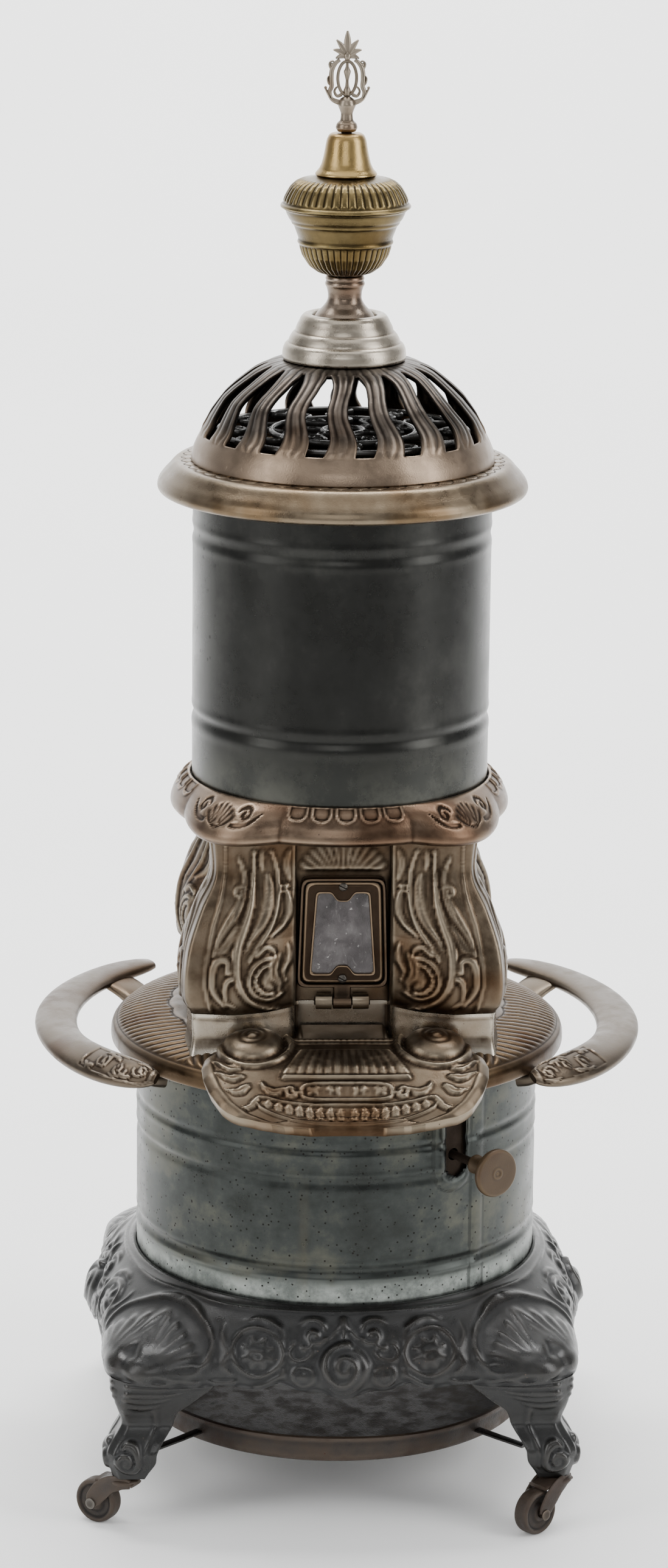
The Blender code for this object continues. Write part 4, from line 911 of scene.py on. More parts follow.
def consoleOrnament(u, v):
    # scrolls, straps and leaves on one side of a console: u across from the bay, v the height
    h = np.zeros_like(u)
    inner = (u > 36) & (u < 96)
    ground = -0.9 * inner * eased((u - 36) / 4) * eased((v - 363) / 4) * eased((478 - v) / 6)
    h += ground

    def strap(points, width, tall, **more):
        ridge(h, u, v, through(points, 70), width, tall, **more)

    t = np.linspace(0, 1, 70)
    strap([(82, 480), (82.2, 457), (85, 440), (90, 424), (93.6, 408), (95.6, 392), (95.6, 378), (92, 364)],
          1.5 + 0.5 * np.sin(math.pi * t), 1.2, groove=0.9)
    strap([(73.5, 470), (69.4, 458), (69.6, 446), (73.4, 436), (80, 426), (86.4, 415), (90.6, 404)],
          0.8 + 2.4 * np.sin(math.pi * t) ** 0.8, 1.9, vein=0.5, groove=0.4)
    ridge(h, u, v, spiral((72.6, 445.0), 4.6, 1.2, 150, -1.2), 1.3, 2.0)
    strap([(62, 474), (62.4, 462), (63.6, 448), (65.0, 436), (69.4, 422), (73.8, 410), (75.2, 396), (73.2, 384),
           (67.4, 373), (58.5, 366), (46, 362.8)], 1.1 + 2.6 * np.sin(math.pi * np.clip(t * 1.05, 0, 1)) ** 2, 2.6, groove=0.6)
    strap([(73.2, 424), (80.6, 412.6), (87.6, 404.6), (92.4, 399.0)], leafWidths(70, 3.0), 1.7, vein=0.5)
    strap([(80.4, 393.6), (80.6, 399.4), (85.0, 401.4), (89.8, 397.6), (91.6, 388.6), (90.4, 379.0), (82.4, 368.4)],
          1.9 + 0.9 * np.sin(math.pi * t), 2.4, groove=0.7)
    strap([(78.6, 388.0), (81.4, 385.4), (83.0, 379.4), (81.6, 371.8), (76.0, 366.6)], 2.4 * (1.05 - 0.7 * t), 2.2, groove=0.6)
    pearls(h, u, v, [(80.2, 393.4), (78.2, 388.4)], 2.5, 2.5)
    strap([(53.4, 457), (51.6, 446), (52.4, 436), (57.0, 425), (64.0, 415.6), (70.2, 404.0)], leafWidths(70, 4.6), 1.3,
          groove=0.5)
    for share in np.linspace(0.12, 0.86, 15):
        place = through([(53.4, 457), (51.6, 446), (52.4, 436), (57.0, 425), (64.0, 415.6), (70.2, 404.0)], 101)[int(100 * share)]
        pearls(h, u, v, [(place[0] + 0.6, place[1])], 1.05, 2.1)
    strap([(50.6, 474), (47.0, 462), (45.6, 448), (46.6, 434), (50.6, 422), (58.4, 411), (66.0, 400)],
          0.9 + 1.0 * np.sin(math.pi * t), 1.8, groove=0.4)
    ridge(h, u, v, spiral((51.4, 385.6), 15.2, 14.0, 95, -0.62, 60), 1.5, 1.9, groove=0.5)
    arc = np.radians(np.linspace(82, -96, 10))
    pearls(h, u, v, np.stack([51.0 + 10.6 * np.cos(arc), 385.6 + 10.6 * np.sin(arc)], axis=1), 2.0, 2.3)
    strap([(44.4, 402), (48.6, 396), (49.0, 388), (44.6, 381), (45.4, 373)], leafWidths(70, 4.6, 4), 1.8, vein=0.6)
    strap([(48.4, 378), (53.6, 383), (53.8, 390), (50.4, 394)], leafWidths(70, 2.6), 1.7, vein=0.5)
    strap([(60.4, 404.0), (54.0, 408.4), (48.4, 404.8), (48.6, 399.4)], 2.2 * (1.05 - 0.7 * t), 1.9, groove=0.4)
    strap([(40.6, 447), (38.4, 440), (38.0, 430), (43.0, 421), (51.0, 415.4)], 0.8 + 2.0 * np.sin(math.pi * t), 1.9, vein=0.4,
          groove=0.3)
    ridge(h, u, v, spiral((42.4, 446.0), 3.6, 1.0, 160, -1.1), 1.1, 1.8)
    strap([(38.6, 408), (37.8, 398), (41.6, 390), (39.6, 381)], leafWidths(70, 2.6, 3), 1.6, vein=0.4)
    strap([(37.4, 474), (40.0, 465), (38.6, 456), (36.6, 451)], leafWidths(70, 2.4), 1.5, vein=0.4)
    strap([(56.6, 474), (57.4, 466), (56.2, 459)], leafWidths(70, 2.2), 1.4, vein=0.4)
    return h


def casingPieces():
    s = casingSizes
    z = np.linspace(s["low"], s["high"], s["rows"])
    grid, u, depth = consoleGrid(z, standOut(z))
    v = z[:, None] + 0 * u
    height = consoleOrnament(u, v) * (depth > s["bayDepth"] + 4)
    fan = np.zeros_like(u)
    shell(fan, u, v, (0.0, 444.0), 90, 35.0, 66, 13, 2.0)
    ridge(fan, u, v, through([(4, 457.5), (14, 458.4), (24, 456.0), (30, 461.0)], 40), leafWidths(40, 2.2), 1.6, vein=0.4)
    height += fan * (v > 455.5) * (u < s["bayHalf"] - 1)
    height += 0.9 * np.exp(-(((u - s["bayHalf"] - 1.2) / 1.3) ** 2)) * (depth > s["bayDepth"] + 5)
    grid = raisedBy(grid, 0.95 * averaged(height, 1, False))
    inner, _, _ = consoleGrid(z[::-15], standOut(z[::-15]), s["wall"])
    whole = np.concatenate([grid, inner], axis=0)
    relief = np.concatenate([reliefOf(grid, False, 2, 1.1), np.full(inner.shape[:2], 0.4)], axis=0)
    parts = [(whole, True, relief)]
    for side in (-1, 1):
        lug = [(side * 7.4, -78.2, 361.6), (side * 12.0, -78.4, 361.7), (side * 18.0, -77.6, 361.6)]
        parts.append((sweep(lug, 5.2, np.array([4.8, 5.2, 5.0]), (0, 1, 0), 18, 3.0), False))
    casing = addPiece("burnerCasing", parts, "stove", nickelWorn, ("burner_casing",))
    # the plinth under it, smooth, with a slight flare at its foot
    z = np.linspace(338.7, 361.0, 16)
    flare = 108.6 + 2.6 * np.clip((345 - z) / 7, 0, 1) ** 1.6 + 0.8 * np.clip((z - 357) / 4, 0, 1)
    outer, _, _ = consoleGrid(z, flare, passes=8)
    inner, _, _ = consoleGrid(z[::-5], flare[::-5], s["wall"], passes=8)
    # the foot follows the deck's slope, sunk a little into it
    deckRadii, deckHeights = (100, 116, 131, 144, 152, 158), (338.2, 337.6, 336.0, 332.8, 329.6, 326.2)
    sink, bendFrom = 1.4, 347
    for grid in (outer, inner):
        deckZ = np.interp(np.hypot(grid[..., 0], grid[..., 1]), deckRadii, deckHeights)
        grid[..., 2] += (deckZ - sink - z[0]) * np.clip((bendFrom - grid[..., 2]) / (bendFrom - z[0]), 0, 1)
    addPiece("casingPlinth", [(np.concatenate([outer, inner], axis=0), True)], "stove", nickelBright,
             ("casing_plinth",))
    return casing


# the mica door: frame with a sunk pocket, retainer with scalloped window, pane and two screws

doorSizes = {"low": 372.0, "high": 451.4, "lowHalf": 32.0, "highHalf": 29.6, "count": 220,
             "screws": (378.5, 444.9), "hingeY": -79.0, "hingeZ": 361.0}


def outlineOf(points, count, passes):
    # a closed outline at exactly count equal steps, its corners rounded
    points = np.asarray(points, float)
    ring = np.vstack([points, points[:1]])
    length = np.linalg.norm(np.diff(ring, axis=0), axis=1).sum()
    line = rounded(points, length / count, passes, True)
    if len(line) != count:
        share = np.linspace(0, len(line), count, endpoint=False)
        whole = np.vstack([line, line[:1]])
        line = np.stack([np.interp(share, np.arange(len(whole)), column) for column in whole.T], axis=1)
    return line


def doorOutline(grow, passes=22):
    s = doorSizes
    low, high = s["low"] - grow, s["high"] + grow
    wide, narrow = s["lowHalf"] + grow, s["highHalf"] + grow
    return outlineOf([(0, low), (wide, low), (narrow, high), (-narrow, high), (-wide, low)], s["count"], passes)


def windowOutline(grow, scallop=0.0):
    s = doorSizes
    low, high, wide, narrow = 382.0 - grow, 440.0 + grow, 21.8 + grow, 17.6 + grow
    line = outlineOf([(0, low), (wide, low), (narrow, high), (-narrow, high), (-wide, low)], s["count"], 10)
    share = scallop * np.exp(-((line[:, 0] / 6.5) ** 4))
    line[:, 1] += np.where(line[:, 1] > 411, -share, share)
    return line


def plate(rows):
    # a closed section carried round an outline: each row is (outline, y)
    return np.stack([np.stack([line[:, 0], np.full(len(line), y), line[:, 1]], axis=1) for line, y in rows])


def doorPieces():
    s = doorSizes
    frameRows = [(doorOutline(0.0), -74.6), (doorOutline(0.1), -77.4), (doorOutline(0.0), -79.6), (doorOutline(-0.7), -80.5),
                 (doorOutline(-1.9), -80.5), (doorOutline(-2.5), -79.8), (doorOutline(-2.7), -77.1),
                 (windowOutline(1.0), -77.1), (windowOutline(1.0), -74.6)]
    parts = [(plate(frameRows), True)]
    y, z = s["hingeY"], s["hingeZ"]
    parts.append((sweep([(-6.6, y, z), (-6.2, y, z), (6.2, y, z), (6.6, y, z)], np.array([3.6, 4.4, 4.4, 3.6]),
                        np.array([3.6, 4.4, 4.4, 3.6]), (0, 1, 0), 20), False))
    parts.append((sweep([(0, y + 0.4, z), (0, y + 0.8, z + 6), (0, y + 0.6, z + 12.6)], np.array([6.3, 6.0, 6.3]), 2.6,
                        (0, 1, 0), 18, 4.0), False))
    addPiece("doorFrame", parts, "mica_door", doorNickel, ("door_frame",))
    retainerRows = [(doorOutline(-3.3), -77.9), (doorOutline(-3.3), -78.8), (doorOutline(-3.9), -79.4),
                    (doorOutline(-4.8), -79.5), (doorOutline(-5.4), -79.0), (doorOutline(-6.0), -78.9),
                    (windowOutline(1.6, 6.4), -79.0), (windowOutline(1.2, 6.2), -79.7), (windowOutline(0.3, 6.0), -79.7),
                    (windowOutline(-0.1, 6.0), -79.0), (windowOutline(0.0, 6.0), -77.9)]
    addPiece("paneRetainer", [(plate(retainerRows), True)], "mica_door", retainerNickel, ("pane_retainer",))
    pane = plate([(windowOutline(2.0), -77.3), (windowOutline(2.0), -77.8)])
    shrink = np.linspace(1.0, 0.02, 24)[1:, None, None]
    centre = np.array([0.0, -77.8, 411.0])
    face = centre + (pane[1][None] - centre) * shrink
    x, height = face[..., 0], face[..., 2]
    face[..., 1] -= 0.16 * np.sin(x * 0.42 + 0.7 * np.sin(height * 0.21)) * np.cos(height * 0.3) * (1 - shrink[..., 0] ** 4)
    back = centre * [1, 0, 1] + [0, -77.3, 0] + (pane[0][None] - (centre * [1, 0, 1] + [0, -77.3, 0])) * shrink[::-1]
    addPiece("micaPane", [(np.concatenate([back, pane, face]), False)], "mica_door", mica, ("mica_pane",))
    for end, height in zip(("Lower", "Upper"), s["screws"]):
        head = rounded([(0.1, 81.5), (1.8, 81.3), (3.0, 80.6), (3.2, 79.9), (1.2, 79.7), (1.2, 76.0), (0.1, 76.0)], 0.4, 1)
        slot = turnedGrid(head, 40)
        slot[..., 2] -= 0.7 * (np.abs(slot[..., 0] * 0.5 + slot[..., 1]) < 0.42) * (slot[..., 2] > 80.4)
        addPiece("retainerScrew" + end, [(layFlat(slot * [1, 1, 1], (0, 0, height)), False)], "mica_door", darkSteel,
                 ("retainer_screw_" + end.lower(),))


retainerNickel = castMetal("retainerNickel", {**castBase, "even": rgb(92, 76, 60), "wearAndHighlight": rgb(126, 108, 88),
                                              "grimeAndShade": rgb(56, 45, 36), "roughLow": 0.3, "roughHigh": 0.44})


def micaFinish():
    # cloudy flakes: grey-violet clouds, pale flecks and a satin gloss that changes from flake to flake
    t = Tree("mica")
    clouds = t.noise(38.0, 4.0, 0.6, None, 0.6)
    flakes = t.noise(120.0, 5.0, 0.7, (1.0, 1.0, 0.6), 1.2)
    flecks = t.noise(330.0, 3.0, 0.6)
    colour = t.ramp(clouds, [(0.32, rgb(46, 42, 41)), (0.50, rgb(72, 67, 67)), (0.68, rgb(100, 96, 95))])
    colour = t.mix(t.spread(flakes, 0.56, 0.72, 0.0, 0.55), colour, rgb(128, 126, 124))
    colour = t.mix(t.spread(flecks, 0.66, 0.74, 0.0, 0.8), colour, rgb(184, 182, 178))
    rough = t.spread(flakes, 0.35, 0.65, 0.16, 0.42)
    return t.finish(colour, 0.25, rough, t.bump(flakes, 0.25, 0.0006))


mica = micaFinish()


# the deck: gadroons that swirl out from a scalloped circle to the plain rim

deckSizes = {"gadroons": 104, "inner": 118.0, "outer": 155.5, "swirl": 12.0, "deep": 1.2}


def deckPiece():
    s = deckSizes
    outer = [(157.8, 312.6), (160.8, 312.8), (161.4, 315.0), (161.3, 320.0), (160.2, 323.6), (157.6, 326.4), (152.0, 329.6),
             (144.0, 332.8), (131.0, 336.0), (116.0, 337.6), (100.0, 338.2), (62.0, 338.2)]
    inner = [(62.0, 334.6), (130.0, 332.2), (146.0, 327.8), (157.6, 320.0)]
    line, shown = ringLine(outer, inner, 1.0, 6.0)
    cols = s["gadroons"] * 8
    grid = turnedGrid(line, cols)
    angle = np.arange(cols)[None, :] * tau / cols
    r = line[:, 0][:, None] + 0 * angle
    # the count is halved by the absolute value, and the front and the back swirl away from the middle
    bay = np.mod(angle + math.pi / 4, math.pi / 2) - math.pi / 4
    turned = angle + math.radians(s["swirl"]) * np.tanh(bay * 3) * ((r - s["inner"]) / (s["outer"] - s["inner"])) ** 1.3
    start = s["inner"] + 2.4 * np.abs(np.cos(s["gadroons"] / 8 * angle))
    share = eased((r - start) / 3.0) * eased((s["outer"] + 1.5 - r) / 3.0)
    height = s["deep"] * (np.abs(np.cos(s["gadroons"] * np.where(share > 0, turned, 0) / 2)) ** 0.7 - 0.5) * share
    height -= 0.5 * np.exp(-(((r - start) / 0.9) ** 2))
    height -= 0.4 * np.exp(-(((r - 157.4) / 0.8) ** 2)) * (line[:, 1][:, None] > 322)
    height[shown:] = 0
    height *= line[:, 1][:, None] > 318
    return addPiece("deck", [(raisedBy(grid, height, True), True)], "stove", nickelDeck, ("deck_plate",))


# the side rails: flat bands with rounded edges on an arc, scrolls engraved on the front third

railSizes = {"lean": 30.0, "reachFront": 47.0, "reachBack": 46.0, "middle": 200.6, "half": 13.6, "thick": 5.6, "z": 323.6}


def railPiece(side, name, replaced):
    s = railSizes
    degrees = np.linspace(-s["reachFront"], s["reachBack"], 200)
    share = np.abs(degrees) / 47.6
    end = np.sqrt(np.clip(1 - share**10, 0, 1))
    radius = s["middle"] - 11.0 * share**3.4
    half = s["half"] * np.maximum(end, 0.12) * (1 + 0.10 * np.cos(np.radians(degrees) * 2.2))
    a = np.radians(degrees)
    path = np.stack([radius * np.cos(a) * side, radius * np.sin(a), s["z"] + 1.2 * share**2], axis=1)
    thick = s["thick"] * np.maximum(end, 0.2)
    sides = 56
    grid = sweep(path, half, thick, (0, 0, 1), sides, 2.5)
    # the front end leans outward: each section turned about its middle, its outer edge down
    lean = math.radians(s["lean"]) * eased((-degrees - 4) / 34.0)[:, None]
    out = np.hypot(grid[..., 0], grid[..., 1])
    dr, dz = out - radius[:, None], grid[..., 2] - path[:, 2][:, None]
    swung = (radius[:, None] + dr * np.cos(lean) + dz * np.sin(lean)) / out
    grid = np.stack([grid[..., 0] * swung, grid[..., 1] * swung, path[:, 2][:, None] - dr * np.sin(lean) + dz * np.cos(lean)],
                    axis=2)
    turn = np.arange(sides)[None, :] * tau / sides
    across = half[:, None] * np.cos(turn)
    top = np.sin(turn) > 0.12
    along = (degrees[:, None] + s["reachFront"]) * math.radians(1) * s["middle"] + 0 * across
    cut = np.zeros_like(across)
    for start, flip in ((12, 1), (29, -1), (46, 1)):
        ridge(cut, along, across, spiral((start, flip * -1.6), 6.4, 1.2, 180 * (flip < 0), 1.3 * flip), 0.9, 1.0)
        ridge(cut, along, across, through([(start + 5, flip * 4.6), (start + 11, flip * 6.4), (start + 17, flip * 2.0)], 30),
              leafWidths(30, 2.0), 1.0)
        ridge(cut, along, across, through([(start - 7, flip * -5.4), (start + 1, flip * -8.0), (start + 8, flip * -6.6)], 30),
              leafWidths(30, 1.6), 0.9)
    ridge(cut, along, across, through([(3, 0), (6, 7.6), (20, 9.8), (44, 9.8), (62, 7.0), (66, 0)], 80), 0.8, 0.7)
    sunk = (along > 4) * (along < 64) * (np.abs(across) < 9)
    height = np.where(top, 0.9 * np.minimum(cut, 1.0) - 0.45 * sunk, 0)
    grid = raisedBy(grid, height)
    relief = reliefOf(grid, False, 2, 2.0)
    parts = [(grid, False, relief)]
    for tilt, wide in ((-33, 7.5), (33, 15.0)):
        t = np.radians(tilt)
        line = [(150, 306.5), (158, 308.0), (166, 311.5), (178, 318.0), (190, 322.5)]
        strut = np.array([[rr * math.cos(t) * side, rr * math.sin(t), zz] for rr, zz in line])
        parts.append((sweep(through(strut, 20), wide, np.linspace(6.0, 3.4, 20), (0, 0, 1), 20, 3.0), False))
    return addPiece(name, parts, "stove", nickelRail, (replaced,))


# the apron in front of the door: crowned casting with two volute shoulders, a fluted panel, a cartouche
# and a lens-shaped field of ornament inside a thick rim

apronSizes = {"rows": 150, "cols": 170, "thick": 5.6, "shoulder": (63.0, -121.0), "shoulderR": 21.0}


def apronOrnament(x, y, edge):
    s = apronSizes
    h = np.zeros_like(x)
    u = np.abs(x)
    sx, sy = s["shoulder"]
    # shoulders: low domes with a ring and a knob on top, and a ridge that curls round them
    away = np.hypot(u - sx, (y - sy) * 1.05) / s["shoulderR"]
    h = np.maximum(h, 9.5 * np.sqrt(np.clip(1 - away**2.2, 0, 1)))
    h -= 0.7 * np.exp(-(((away - 0.42) / 0.06) ** 2))
    h += 1.6 * np.sqrt(np.clip(1 - (away / 0.16) ** 2, 0, 1))
    ridge(h, u, y, spiral((sx, sy - 3), 27, 22, 150, 0.62, 70), 2.6, 3.4, groove=0.6)
    # fluted trapezoid panel between them
    share = np.clip((-y - 132) / 26, 0, 1)
    wide = 30 + 12 * share
    panel = (u < wide) & (y < -131) & (y > -158)
    flutes = 1.3 * np.abs(np.cos(6.5 * math.pi * np.clip(u / wide, 0, 1))) ** 0.6 + 0.8
    h = np.where(panel, np.maximum(h, flutes), h)
    ridge(h, u, y, np.array([[0, -159.4], [20, -159.4], [43, -158.6]]).repeat(12, 0) + 0.0, 1.8, 2.8)
    ridge(h, u, y, through([(0, -159.6), (20, -159.4), (43, -158.4)], 60), 1.9, 3.0, groove=0.5)
    ridge(h, u, y, through([(29.5, -131), (36, -144), (43, -157)], 40), 1.5, 2.2)
    # cartouche with a rounded outline and small leaves in it, and a curled leaf end at each side
    ridge(h, u, y, through([(0, -163.4), (20, -163.4), (28.5, -164.6), (31.4, -168.6), (28.4, -172.6), (18, -173.8),
                            (0, -174.0)], 100), 1.2, 2.0, groove=0.6)
    for k, place in enumerate((5.0, 12.5, 20.0, 26.4)):
        ridge(h, u, y, through([(place, -165.4), (place + 1.6 * (-1) ** k, -168.4), (place, -171.8)], 24),
              leafWidths(24, 2.1), 1.4, vein=0.4)
    ridge(h, u, y, spiral((38.5, -168.0), 4.4, 1.6, 200, 1.0), 1.6, 2.6)
    ridge(h, u, y, through([(42, -166), (49, -168.4), (56, -165.0), (60, -158.0)], 50), leafWidths(50, 3.0, 4), 2.2, vein=0.4)
    # lens-shaped field: upright leaves between two arcs
    ridge(h, u, y, through([(0, -177.2), (24, -176.8), (44, -174.4), (58, -171.0), (62, -174.0), (54, -180.0), (34, -186.0),
                            (14, -188.0), (0, -188.3)], 150), 1.1, 1.8, groove=0.7)
    for k, place in enumerate(np.arange(3.6, 56, 7.0)):
        top = -178.4 + 0.0021 * place**2
        low = -187.0 + 0.0034 * place**2
        if top - low > 3:
            ridge(h, u, y, through([(place, low), (place + 1.2, (top + low) / 2), (place, top)], 24), leafWidths(24, 2.6),
                  1.7, vein=0.5)
            pearls(h, u, y, [(place + 3.5, (top + low) / 2)], 1.1, 1.2)
    # flames at both sides, beaded strip at the back and the rim
    for x0, y0, x1, y1, wide in ((72, -150, 92, -136, 3.4), (70, -156, 90, -150, 3.0), (66, -162, 83, -164, 3.0),
                                 (74, -144, 86, -127, 2.8), (60, -170, 72, -176, 2.4)):
        ridge(h, u, y, through([(x0, y0), ((x0 + x1) / 2, (y0 + y1) / 2 - 3.4), (x1, y1)], 40), leafWidths(40, wide, 3),
              2.2, vein=0.5, groove=0.4)
    back = (u < 52) & (y > -123) & (y < -111.5)
    beads = 1.2 * np.abs(np.cos(math.pi * u / 4.2)) ** 0.5 * (np.abs(np.cos(math.pi * (y + 111.5) / 5.6)) < 0.8)
    h = np.where(back, np.maximum(h, beads * 0.9), h)
    h += 1.6 * np.sqrt(np.clip(1 - ((edge - 3.6) / 4.2) ** 2, 0, 1)) * (y < -128)
    return h


def apronPiece():
    s = apronSizes
    knots = np.array([(-77.3, 32.0, 344.2), (-109.6, 32.2, 344.4), (-111.2, 60.0, 344.6), (-114.0, 76.0, 344.6),
                      (-119.0, 88.0, 344.0), (-128.0, 96.0, 342.8), (-140.0, 98.6, 340.6), (-152.0, 97.6, 336.6),
                      (-162.0, 93.6, 330.2), (-172.0, 86.4, 322.6), (-180.0, 75.6, 315.6), (-185.4, 61.0, 310.4),
                      (-188.4, 44.0, 307.4), (-190.0, 26.0, 305.8)])
    path = rounded(knots, 1.0, 3)
    y, half, z = path[:, 0][:, None], path[:, 1][:, None], path[:, 2][:, None]
    across = np.sin(np.linspace(-1, 1, s["cols"]) * math.pi / 2 * 0.92) / math.sin(math.pi / 2 * 0.92)
    x = half * across
    # crowned across, and rolled down along the sides but not along the front
    rolled = np.clip((np.abs(across) - 0.86) / 0.14, 0, 1) ** 2.2 * eased((y + 187) / 13)
    crown = z - 4.5 * (x / 98.0) ** 2 * eased((-y - 110) / 20) - 5.0 * rolled
    top = np.stack([x, y + 0 * x, crown], axis=2)
    # distance to the rim, from the nearest side and the front
    edge = np.minimum(half - np.abs(x), 1.25 * (y + 190.4) + 0.0009 * x**2)
    height = averaged(apronOrnament(x, y + 0 * x, edge), 1, False)
    lifted = raisedBy(top, height * np.sign(normalsOf(top, False)[..., 2].mean()))
    under = top[:, ::-4].copy()
    under[..., 2] -= s["thick"]
    under[..., 0] *= 0.985
    whole = np.concatenate([lifted, under], axis=1)
    flip = -1 if volumeOf(whole.reshape(-1, 3), *facesOf(*whole.shape[:2], False)) < 0 else 1
    relief = 0.52 + flip * 0.8 * (reliefOf(lifted, False, 3, 1.0) - 0.5)
    relief = np.concatenate([relief, np.full(under.shape[:2], 0.42)], axis=1)
    return addPiece("apron", [(whole, False, relief)], "stove", nickelWorn, ("front_apron",))


# the base: a squared skirt of cast ornament with a scalloped lower edge

skirtSizes = {"cols": 800, "low": 111.6, "wall": 5.0}


def skirtOrnament(side, v):
    # one side of the skirt: side is signed, u across from the middle either way, v the height
    u = np.abs(side)
    h = np.zeros_like(u)

    def strap(points, width, tall, **more):
        ridge(h, u, v, through(points, 60), width, tall, **more)

    t = np.linspace(0, 1, 60)
    # swirl at the middle of the side
    away = np.hypot(u, v - 130.0) / 17.5
    h = np.maximum(h, 4.2 * np.sqrt(np.clip(1 - away**2.4, 0, 1)))
    ridge(h, side, v, spiral((0, 130.0), 16.6, 2.4, 80, 1.9, 160), 3.4 - 1.6 * np.linspace(0, 1, 160), 5.4, groove=1.1)
    strap([(0, 166.0), (3.6, 158.6), (9.0, 151.6)], 1.6, 2.0)
    strap([(0, 161.0), (0, 155.0), (0, 149.6)], 3.4 * (1.1 - t * 0.6), 2.4)
    # small curls above and discs beside it
    ridge(h, u, v, spiral((19.5, 153.6), 7.4, 1.8, 200, 1.25, 70), 2.0 - 0.8 * np.linspace(0, 1, 70), 2.6)
    strap([(12.4, 157.0), (16.0, 163.4), (24.0, 164.6), (33.0, 160.0)], leafWidths(60, 2.4), 1.9)
    pearls(h, u, v, [(19.5, 153.6)], 2.6, 2.8)
    ridge(h, u, v, spiral((27.0, 122.6), 7.4, 7.0, 0, 1.0, 70), 1.6, 2.2, groove=0.5)
    pearls(h, u, v, [(27.0, 122.6)], 5.4, 2.2)
    strap([(20, 141.6), (26.0, 135.6), (33.6, 134.6), (37.0, 140.6), (34.0, 147.0)], 1.8, 2.2)
    strap([(20.4, 146.0), (27.0, 143.4), (31.0, 147.4)], leafWidths(60, 2.6), 2.2)
    # rosette with leaves inside a round frame
    ridge(h, u, v, spiral((59.0, 139.0), 18.0, 17.6, 0, 1.0, 120), 2.1, 2.4, groove=0.7)
    for k in range(8):
        turn = math.radians(45 * k + 12)
        reach = [(59.0 + r * math.cos(turn + 0.02 * r), 139.0 + r * math.sin(turn + 0.02 * r)) for r in (4, 9, 14.6)]
        strap(reach, leafWidths(60, 3.4, 3), 2.2, vein=0.5)
    ridge(h, u, v, spiral((59.6, 135.6), 6.0, 2.0, 20, 1.0), 2.0, 3.0)
    pearls(h, u, v, [(59.0, 139.0)], 2.4, 3.0)
    strap([(40.0, 128.0), (43.0, 119.0), (54.0, 114.6), (66.0, 114.2)], leafWidths(60, 3.2, 4), 2.0, vein=0.3)
    strap([(40.6, 150.0), (46.0, 159.0), (57.0, 163.0), (70.0, 160.6)], leafWidths(60, 3.0, 4), 1.9, vein=0.3)
    strap([(78.0, 120.0), (82.6, 128.0), (81.0, 139.0), (84.0, 150.0), (81.0, 160.0)], leafWidths(60, 3.0, 3), 2.0, vein=0.4)
    strap([(74.0, 116.0), (84.0, 113.6), (96.0, 117.0)], leafWidths(60, 2.6, 3), 1.9)
    # corner shell in an oval frame, with a boss at its root
    oval = np.linspace(0, tau, 120)
    frame_ = np.stack([124.0 + 33.0 * np.cos(oval), 139.0 + 25.0 * np.sin(oval) + 0.16 * 33.0 * np.cos(oval) * -1], axis=1)
    ridge(h, u, v, frame_, 1.7, 2.3, groove=0.6)
    shell(h, u, v, (143.0, 121.0), 142, 45.0, 50, 11, 2.6)
    away = np.hypot((u - 140.0) / 13.0, (v - 122.0) / 8.5)
    h = np.maximum(h, 3.4 * np.sqrt(np.clip(1 - away**2, 0, 1)))
    strap([(96.0, 156.0), (104.0, 165.0), (116.0, 168.0)], leafWidths(60, 2.8, 3), 1.8)
    strap([(158.0, 150.0), (164.0, 140.0), (166.0, 126.0)], leafWidths(60, 3.0, 3), 1.9, vein=0.4)
    ridge(h, u, v, through([(0, 170.6), (40, 170.4), (80, 169.0), (118, 171.0), (150, 168.0)], 160), 1.2, 0.9)
    # rim along the lower edge
    h = np.maximum(h, 1.5 * np.sqrt(np.clip(1 - ((v - 110.6) / 2.6) ** 2, 0, 1)))
    return h


def squared(half, power, angle):
    # |x|^power + |y|^power = half^power, read at an angle
    return half / (np.abs(np.cos(angle)) ** power + np.abs(np.sin(angle)) ** power) ** (1 / power)


